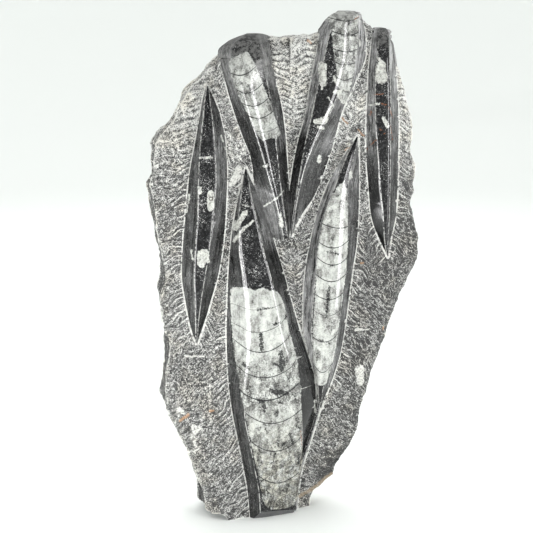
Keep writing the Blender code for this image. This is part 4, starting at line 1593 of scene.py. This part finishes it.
def black_limestone(tree, place, off, height):
    """The dark stone: fine pale specks on the crowns, streaks down the sides. `off` is how far
    down a side the place lies."""
    way = put("ShaderNodeCombineXYZ", {0: off, 1: height * 0.045})
    pale_side_and_reflection = known(tree, "side_tone_and_reflection")
    streak = spread(cloud(way, 1.3, 4.0, 0.75), (0.02, 2.9), (0.38, 0.66))
    patch = spread(cloud(place, 7.0, 3.0, 0.6), (0.5, 1.5), (0.3, 0.7))
    fleck = cloud(scaled(place, (1.0, 1.0, 0.3)), 0.8, 2.0, 0.7)
    streak = streak + fade(fleck, 0.58, 0.72) * 2.0
    # The sides' paleness is partly their own grey and partly painted reflection.
    tone = pale_side_and_reflection * streak * patch
    sides = put("ShaderNodeCombineColor", {0: tone, 1: tone, 2: tone})
    scratch_way = vector_calc("ADD", scaled(way, (1.0, 3.0, 1.0)),
                              scaled(place, (0.0, 0.02, 0.0)))
    scratch = fade(cloud(scratch_way, 0.45, 3.0, 0.6), 0.6, 0.7)
    scratch_share = spread(pale_side_and_reflection, (0.25, 0.95), (0.0, 0.08))
    sides = blend(scratch * scratch_share, sides, SCRATCH_GREY)
    dust = fade(cloud(place, 0.8, 3.0, 0.75), 0.58, 0.68)
    dust_share = spread(pale_side_and_reflection, (0.15, 0.5), (0.0, 0.03))
    sides = blend(dust * dust_share, sides, DUST_GREY)
    specks = cloud(place, 0.85, 2.0, 0.7)
    crowd = fade(cloud(place, 12.0, 2.0), 0.35, 0.7)
    limit = spread(crowd, (0.68, 0.56))
    speck = fade(specks - limit, 0.0, 0.06)
    dark_clouds = tones(cloud(place, 1.8, 4.0, 0.7), CROWN_TONES)
    crown = blend(speck, dark_clouds, SPECK_GREY)
    hair_way = stretched(place, 0.9, (1.0, 1.0, 0.12))
    hair = fade(cloud(hair_way, 0.6, 2.0, 0.6), 0.66, 0.72)
    hair = hair * crowd
    crown = blend(hair, crown, HAIR_GREY)
    beyond = off - known(tree, "rounded") * 1.5
    stone = blend(fade(beyond, 0.1, 0.9), crown, sides)
    haze = known(tree, "rounded") * fade(cloud(place, 3.0, 4.0, 0.7), 0.4, 0.6)
    stone = blend(haze * 0.7, stone, HAZE_GREY)
    # Painted highlight: a thin pale line just past each ridge, where the polish would mirror a
    # light.
    painted_ridge_highlight = fade(off, 0.02, 0.2) * (1.0 - fade(off, 0.5, 0.9))
    painted_ridge_highlight = painted_ridge_highlight * fade(cloud(place, 2.2, 3.0), 0.38, 0.56)
    painted_ridge_highlight = painted_ridge_highlight * (1.0 - known(tree, "rounded"))
    return blend(painted_ridge_highlight * 0.65, stone, PAINTED_HIGHLIGHT_GREY)


def white_calcite(tree, place, height):
    """Milky calcite with grey clouds, dark veins and specks, warmer in the lower chambers."""
    mottle = known(tree, "mottle")
    upright = scaled(place, (1.0, 1.0, 0.45))
    clouds = cloud(upright, 4.5, 4.0, 0.65) - 0.5
    cloud_share = spread(mottle, (0.66, 0.95))
    fine_clouds = cloud(place, 1.0, 2.0, 0.8) - 0.5
    fine_share = spread(mottle, (0.2, 0.95))
    both = clouds * cloud_share + fine_clouds * fine_share + 0.53 - mottle * 0.06
    bent = ragged(place, 2.6, 1.5)
    crystal = put("ShaderNodeTexVoronoi", {"Vector": bent, "Scale": 1 / CRYSTAL_MM}, "Color")
    lot = put("ShaderNodeSeparateColor", {0: crystal})
    crystal_share = spread(mottle, (0.06, 0.26))
    both = both + crystal_share * (lot - 0.5)
    seam = put("ShaderNodeTexVoronoi", {"Vector": bent, "Scale": 1 / CRYSTAL_MM}, "Distance",
               feature="DISTANCE_TO_EDGE")
    seam = 1.0 - fade(seam, 0.015, 0.07)
    seam = seam * fade(cloud(place, 4.0, 3.0, 0.7), 0.42, 0.58)
    colour = tones(both, CALCITE_TONES)
    low = 1.0 - fade(height, 25.0, LOWER_CHAMBERS_Z)
    warm = low * fade(cloud(place, 5.0), 0.36, 0.58)
    colour = blend(warm * 0.7, colour, WARM_CALCITE, "MULTIPLY")
    smoke = fade(cloud(place, 6.5, 5.0, 0.72), 0.46, 0.62)
    smoke = smoke * fade(mottle, 0.3, 0.8)
    colour = blend(smoke * 0.62, colour, SMOKE_GREY)
    specks = cloud(place, 1.05, 2.0, 0.65)
    limit = spread(mottle, (0.73, 0.585))
    dark = fade(specks - limit, 0.0, 0.05)
    blotch = fade(cloud(place, 3.2, 5.0, 0.78), 0.585, 0.66)
    blotch = blotch * fade(mottle, 0.4, 0.9)
    dark = calc("MAXIMUM", dark, blotch * 0.9)
    vein = abs(cloud(place, 3.4, 3.0, 0.7) - 0.5)
    vein = 1.0 - fade(vein, 0.004, 0.03)
    vein = vein * fade(mottle, 0.2, 0.9)
    dark = calc("MAXIMUM", dark, vein * 0.75)
    dark = calc("MAXIMUM", dark, seam * (mottle * 0.95))
    return blend(dark * 0.88, colour, INK)


def chamber_walls(tree, place):
    """How much of a dark wall shows at each point, from 0 to 1."""
    shake = cloud(place, 2.2, 3.0) - 0.5
    off = calc("PINGPONG", known(tree, "chamber"), 0.5) * known(tree, "chamber_gap")
    off = off + shake * 0.45
    strength = known(tree, "wall_strength")
    half = strength * WALL_HALF_WIDTH
    beyond = abs(off) - half
    line = 1.0 - fade(beyond, 0.0, 0.3)
    return line * fade(strength, 0.05, 0.75)


def finish_polished(material):
    tree = material.node_tree
    shader = tree.nodes["Principled BSDF"]
    place = place_in_mm(tree)
    height = put("ShaderNodeSeparateXYZ", {0: place}, "Z")
    off = known(tree, "side")
    shaken = ragged(place, 1.1, 0.85)
    edge_noise = cloud(place, 1.8, 3.0, 0.6) - 0.5
    depth = known(tree, "inside") + edge_noise * 2.4
    fossil = fade(depth, -0.3, 0.3)
    colour = blend(fossil, black_limestone(tree, place, off, height),
                   white_calcite(tree, place, height))
    walls = chamber_walls(tree, place) * fossil
    colour = blend(walls * 0.93, colour, INK)
    shaken, white = deepest_stroke(shaken, WHITE_MARKS)
    shaken, dark = deepest_stroke(shaken, DARK_MARKS)
    shaken, rust = deepest_stroke(shaken, RUST_MARKS)
    shaken, ring = deepest_stroke(shaken, RING_MARKS)
    bites = (cloud(place, 2.6, 4.0, 0.7) - 0.5) * 3.2
    white = fade(white + bites, -0.2, 0.2)
    milky = tones(cloud(place, 2.0, 4.0, 0.8), MILKY_TONES)
    colour = blend(white, colour, milky)
    crumbs = cloud(place, 0.95, 2.0, 0.7) - 0.5
    dark = dark + crumbs * 5.0
    dark = fade(dark + bites * 1.4, -0.4, 0.4)
    dark_noise = spread(cloud(place, 1.2, 3.0, 0.7), (0.35, 0.95), (0.3, 0.5))
    colour = blend(dark * dark_noise, colour, INK)
    ring = 1.0 - fade(abs(ring), 0.1, 0.55)
    colour = blend(ring * 0.85, colour, RING_BROWN)
    rust = fade(rust, -0.3, 0.3) * fade(cloud(place, 1.6, 2.0), 0.4, 0.6)
    colour = blend(rust * 0.75, colour, RUST)
    feed(shader, "Base Color", colour)
    wear = cloud(place, 3.0, 3.0)
    dull_side = fade(off, 2.6, 5.0) * known(tree, "side_tone_and_reflection")
    gloss = dull_side * 2.2 + wear * 0.09
    shaken, dull = deepest_stroke(shaken, DULL_MARKS)
    gloss = gloss + fade(dull, -1.5, 1.5) * 0.4
    gloss = gloss + known(tree, "rounded") * 0.3
    feed(shader, "Roughness", gloss + 0.06)
    swell = cloud(place, 9.0, 1.0)
    grain = cloud(place, 1.2, 2.0)
    feed(shader, "Normal", dented(grain, 0.012, dented(swell, 0.1)))
    feed(shader, "IOR", POLISH_IOR)


finish_polished(polished_stone)
print("polished finish:", len(polished_stone.node_tree.nodes), "nodes")

# %% [markdown]
# ## The chiselled rock
# Every blow of the chisel crushes the stone white at its rim, so the rock is salt and pepper,
# with pale lines where strokes meet and a pale bruised line all round each shell. The colour
# follows the relief that is kept on the points: raised bits paler as crushed stone, hollows,
# pits and the hollow of each stroke darker as painted shade. Finer noise fills in what is
# smaller than the mesh. Painted light and shade also make the rock paler towards the top,
# darker at the lower right and the lower left, and darker in narrow gaps between shells.

# %% Rough finish
PALE_ROCK_MARKS = [
    ((230, 185), (239, 169), 1.6, 3.0), ((234, 184), (240, 176), 1.2, 1.6),
    ((360, 370), (361, 383), 5.0, 4.0), ((195, 429), (195, 432), 3.0, 2.6),
    ((200, 429), (192, 440), 2.0, 1.4), ((195, 444), (196, 446), 1.8, 1.4),
    ((180, 411), (184, 414), 2.4, 1.6), ((186, 357), (205, 357), 0.9, 0.6),
    ((356, 330), (369, 330), 1.4, 0.7), ((190, 458), (200, 450), 1.0, 0.8),
]
RUSTY_ROCK_MARKS = [
    ((210, 411), (213, 411), 1.2, 1.0), ((181, 423), (189, 416), 1.2, 1.6),
    ((385, 329), (385, 331), 1.0, 0.8), ((361, 263), (363, 263), 1.0, 0.8),
    ((342, 118), (348, 124), 0.6, 0.7), ((358, 130), (364, 136), 0.7, 0.6),
    ((345, 150), (352, 146), 0.6, 0.6), ((309, 41), (311, 43), 1.4, 1.0),
]
PAINTED_PIT_SHADE = (0.014, 0.014, 0.014)
CREST_WHITE = (0.7, 0.7, 0.67)
WARM_ROCK = (1.0, 0.94, 0.84)
BRUISE_WHITE = (0.66, 0.66, 0.63)
PALE_ROCK = (0.66, 0.66, 0.62)
RUSTY_ROCK = (0.42, 0.22, 0.1)
CRUST_TAN = (0.3, 0.23, 0.15)
ROCK_TONES = [
    (0.3, (0.008, 0.008, 0.008)),
    (0.42, (0.034, 0.034, 0.033)),
    (0.5, (0.08, 0.08, 0.078)),
    (0.58, (0.165, 0.165, 0.16)),
    (0.74, (0.62, 0.62, 0.59)),
]
BRUSH_WIDTH = 0.8
BRUSH_LENGTH = 2.2
STROKE_LEAST = 1.0
STROKE_SPREAD = 16.0
WAVY_SIZE = 2.4
CRUST_LINE = [((300, 496), (316, 487), 2.0, 2.6), ((316, 487), (332, 474), 2.6, 2.0)]


def stroke_lines(away, stroke):
    """The pale crests of the chisel strokes, and the painted shade in their hollows. Each stroke
    has its own reach from the shell, drawn by lot from its number."""
    number = calc("FLOOR", stroke + 0.5)
    lot = put("ShaderNodeTexWhiteNoise", {"W": number}, noise_dimensions="1D")
    reach = lot * STROKE_SPREAD + STROKE_LEAST
    share = away / reach
    shown = 1.0 - fade(share, 0.55, 1.0)
    off = abs(stroke - number)
    crest = 1.0 - fade(off, 0.07, 0.15)
    phase = calc("FRACT", stroke) - STROKE_HOLLOW
    hollow = 1.0 - fade(abs(phase), 0.07, 0.17)
    return crest * shown, hollow * shown


def finish_rough(material):
    tree = material.node_tree
    shader = tree.nodes["Principled BSDF"]
    place = place_in_mm(tree)
    away, stroke = known(tree, "away"), known(tree, "stroke")
    across = put("ShaderNodeSeparateXYZ", {0: place}, "X")
    height = put("ShaderNodeSeparateXYZ", {0: place}, "Z")
    front, combed = known(tree, "front"), known(tree, "combed")
    near = combed * (1.0 - fade(away, 2.0, 11.0))
    narrow = front * (1.0 - fade(known(tree, "gap_width"), 7.0, 14.0))
    brushed_way = put("ShaderNodeCombineXYZ",
                      {0: stroke * (STROKE_PITCH / BRUSH_WIDTH), 1: away / BRUSH_LENGTH})
    brushed = cloud(brushed_way, 1.0, 2.0, 0.6)
    loose = cloud(stretched(place, 0.5, (0.62, 1.0, 1.0)), 1.0, 2.0, 0.75)
    mostly = near * 0.6
    grit = put("ShaderNodeMix", {0: mostly, 2: loose, 3: brushed})
    grain = cloud(place, 0.75, 2.0, 0.7)
    value = grit * 0.9 + grain
    value = value - 0.45
    # The relief sets the colour: raised bits paler as crushed stone, hollows darker as painted
    # shade.
    value = value + known(tree, "fine_relief") * 0.45
    value = value + known(tree, "broad_relief") * 0.09
    broad = cloud(place, 20.0, 3.0)
    value = value + (broad - 0.5) * 0.2
    # Painted light and shade: paler towards the top, darker in narrow gaps between shells, and
    # darker at the lower right and the lower left. It is also a little darker towards the foot.
    value = value + fade(height, 210.0, 300.0) * 0.14
    value = value - narrow * 0.22
    foot = 1.0 - fade(height, 8.0, 45.0)
    value = value - foot * 0.06
    lower_right_shade = fade(across, 10.0, 70.0) * (1.0 - fade(height, 200.0, 320.0))
    value = value - lower_right_shade * 0.18
    lower_left_shade = fade(across * -1.0, 50.0, 85.0) * (1.0 - fade(height, 245.0, 300.0))
    value = value - lower_left_shade * 0.055
    value = value - 0.02
    colour = tones(value, ROCK_TONES)
    crest, hollow = stroke_lines(away, stroke)
    meeting = known(tree, "gap_width") - away * 2.0
    meeting = combed * fade(meeting, 0.5, MEET_FADE)
    crest, hollow = (line * meeting for line in (crest, hollow))
    wavy_way = put("ShaderNodeCombineXYZ", {0: stroke * STROKE_PITCH, 1: away * 0.32, 2: across})
    wavy_way = scaled(wavy_way, (1.0, 1.0, 0.12))
    wavy = cloud(wavy_way, WAVY_SIZE, 3.0, 0.6) - 0.5
    wavy = 1.0 - fade(abs(wavy), 0.012, 0.045)
    loop = abs(cloud(place, 3.0, 3.0, 0.6) - 0.5)
    loop = 1.0 - fade(loop, 0.01, 0.04)
    uncombed = front * (1.0 - combed)
    loop = loop * calc("MAXIMUM", narrow * 1.6, uncombed)
    loop = calc("MAXIMUM", wavy * combed, loop)
    # Painted shade: dark pits near the shells and in the hollow of each stroke.
    shaded_pits = fade(cloud(place, 1.6, 2.0, 0.6), 0.6, 0.66)
    shaded_pits = shaded_pits * spread(near, (0.45, 0.85))
    dark = calc("MAXIMUM", shaded_pits, hollow * 0.5)
    colour = blend(dark, colour, PAINTED_PIT_SHADE)
    pale_lines = calc("MAXIMUM", crest * 0.85, loop * 0.55)
    pale_lines = pale_lines * fade(grain, 0.38, 0.56)
    colour = blend(pale_lines, colour, CREST_WHITE)
    warm = fade(cloud(place, 14.0, 3.0), 0.45, 0.65)
    colour = blend(warm * 0.5, colour, WARM_ROCK, "MULTIPLY")
    shaken = ragged(place, 2.2, 1.0)
    bruise = (1.0 - fade(away + grit * 0.8, 1.0, 1.5)) * front
    bruise = bruise * fade(cloud(place, 3.0, 2.0), 0.3, 0.52)
    colour = blend(bruise * 0.75, colour, BRUISE_WHITE)
    shaken, pale = deepest_stroke(shaken, PALE_ROCK_MARKS, 0.0)
    shaken, rusty = deepest_stroke(shaken, RUSTY_ROCK_MARKS, 0.0)
    shaken, crust = deepest_stroke(shaken, CRUST_LINE, 0.0)
    pale = fade(pale, -0.5, 0.5) * front * 0.8
    colour = blend(pale * fade(grit, 0.28, 0.56), colour, PALE_ROCK)
    colour = blend(fade(rusty, -0.5, 0.5) * front * 0.6, colour, RUSTY_ROCK)
    colour = blend(fade(crust, -0.8, 0.8) * 0.6, colour, CRUST_TAN)
    feed(shader, "Base Color", colour)
    feed(shader, "Roughness", spread(grit, (0.6, 0.9)))
    feed(shader, "Normal", dented(grit + crest * 0.3 - dark * 0.35, 0.6))


finish_rough(rough_stone)
print("rough finish:", len(rough_stone.node_tree.nodes), "nodes")

# %% [markdown]
# ## The ground foot
# The bevel and the underside of the foot are ground but not polished as finely, so they are
# a duller dark grey, with faint lines along the way the wheel ran.

# %% Ground finish
SAWN_SPECK = (0.26, 0.26, 0.25)
SAWN_TONES = [
    (0.3, (0.035, 0.036, 0.037)),
    (0.5, (0.065, 0.066, 0.067)),
    (0.7, (0.13, 0.13, 0.13)),
]


def finish_sawn(material):
    tree = material.node_tree
    shader = tree.nodes["Principled BSDF"]
    place = place_in_mm(tree)
    along = scaled(place, (0.08, 1.0, 1.0))
    lines = cloud(along, 0.8, 3.0, 0.6)
    colour = tones(lines, SAWN_TONES)
    specks = fade(cloud(place, 1.0, 2.0), 0.62, 0.75)
    colour = blend(specks, colour, SAWN_SPECK)
    feed(shader, "Base Color", colour)
    feed(shader, "Roughness", spread(lines, (0.22, 0.42)))
    feed(shader, "Normal", dented(lines, 0.02))


finish_sawn(sawn_stone)
print("ground finish:", len(sawn_stone.node_tree.nodes), "nodes")

# %% [markdown]
# ## A map for baking
# For baking the finishes into pictures, the stone gets a flat map. The front and
# the back are each laid flat, and their rims are pushed outwards as they turn to the side, so
# that no face is seen edge on. The saw cut gets a small place of its own.

# %% Bake map
MAP_SPINE = (60.0, 290.0)
FRONT_CHART = {"scale": 1 / 384, "at": (0.005, 0.005), "low": (-108.0, -12.0)}
BACK_CHART = {"scale": 1 / 526, "at": (0.585, 0.005), "low": (-108.0, -12.0)}
CUT_CHART = {"scale": 1 / 526, "at": (0.62, 0.80), "low": (-70.0, -36.0)}
FRONT_TURN_Y = -12.0
BACK_TURN_Y = 9.0
CHART_EDGE_Y = -2.0


def chart_place(flat, chart):
    return (flat - np.array(chart["low"])) * chart["scale"] + np.array(chart["at"])


def bake_map(mesh):
    """Gives every corner of every face its place on the flat map."""
    points = read_points(mesh)
    corners = read(mesh.loops, "vertex_index", 1, int)[:, 0]
    centre, normal = read(mesh.polygons, "center") / MM, read(mesh.polygons, "normal")
    in_front = np.repeat(centre[:, 1] < CHART_EDGE_Y, 3)[:, None]
    on_cut = np.repeat((normal[:, 2] < -0.9) & (centre[:, 2] < 0.5), 3)[:, None]
    place = points[corners]
    spine = np.stack([np.zeros(len(place)), np.clip(place[:, 2], *MAP_SPINE)], axis=1)
    flat = place[:, [0, 2]]
    ways = flat - spine
    ways /= np.maximum(np.linalg.norm(ways, axis=1), 1e-6)[:, None]
    y = place[:, 1:2]
    front = chart_place(flat + ways * np.maximum(y - FRONT_TURN_Y, 0.0), FRONT_CHART)
    back = chart_place(flat + ways * np.maximum(BACK_TURN_Y - y, 0.0), BACK_CHART)
    cut = chart_place(place[:, :2], CUT_CHART)
    spots = np.where(on_cut, cut, np.where(in_front, front, back))
    layer = mesh.uv_layers.new(name="OFBake")
    layer.data.foreach_set("uv", spots.ravel())
    print("bake map from", spots.min(axis=0).round(3), "to", spots.max(axis=0).round(3))


bake_map(rock.data)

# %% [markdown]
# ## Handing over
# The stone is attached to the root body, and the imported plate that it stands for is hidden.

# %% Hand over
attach(rock, "root")
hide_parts("fossil_plate")
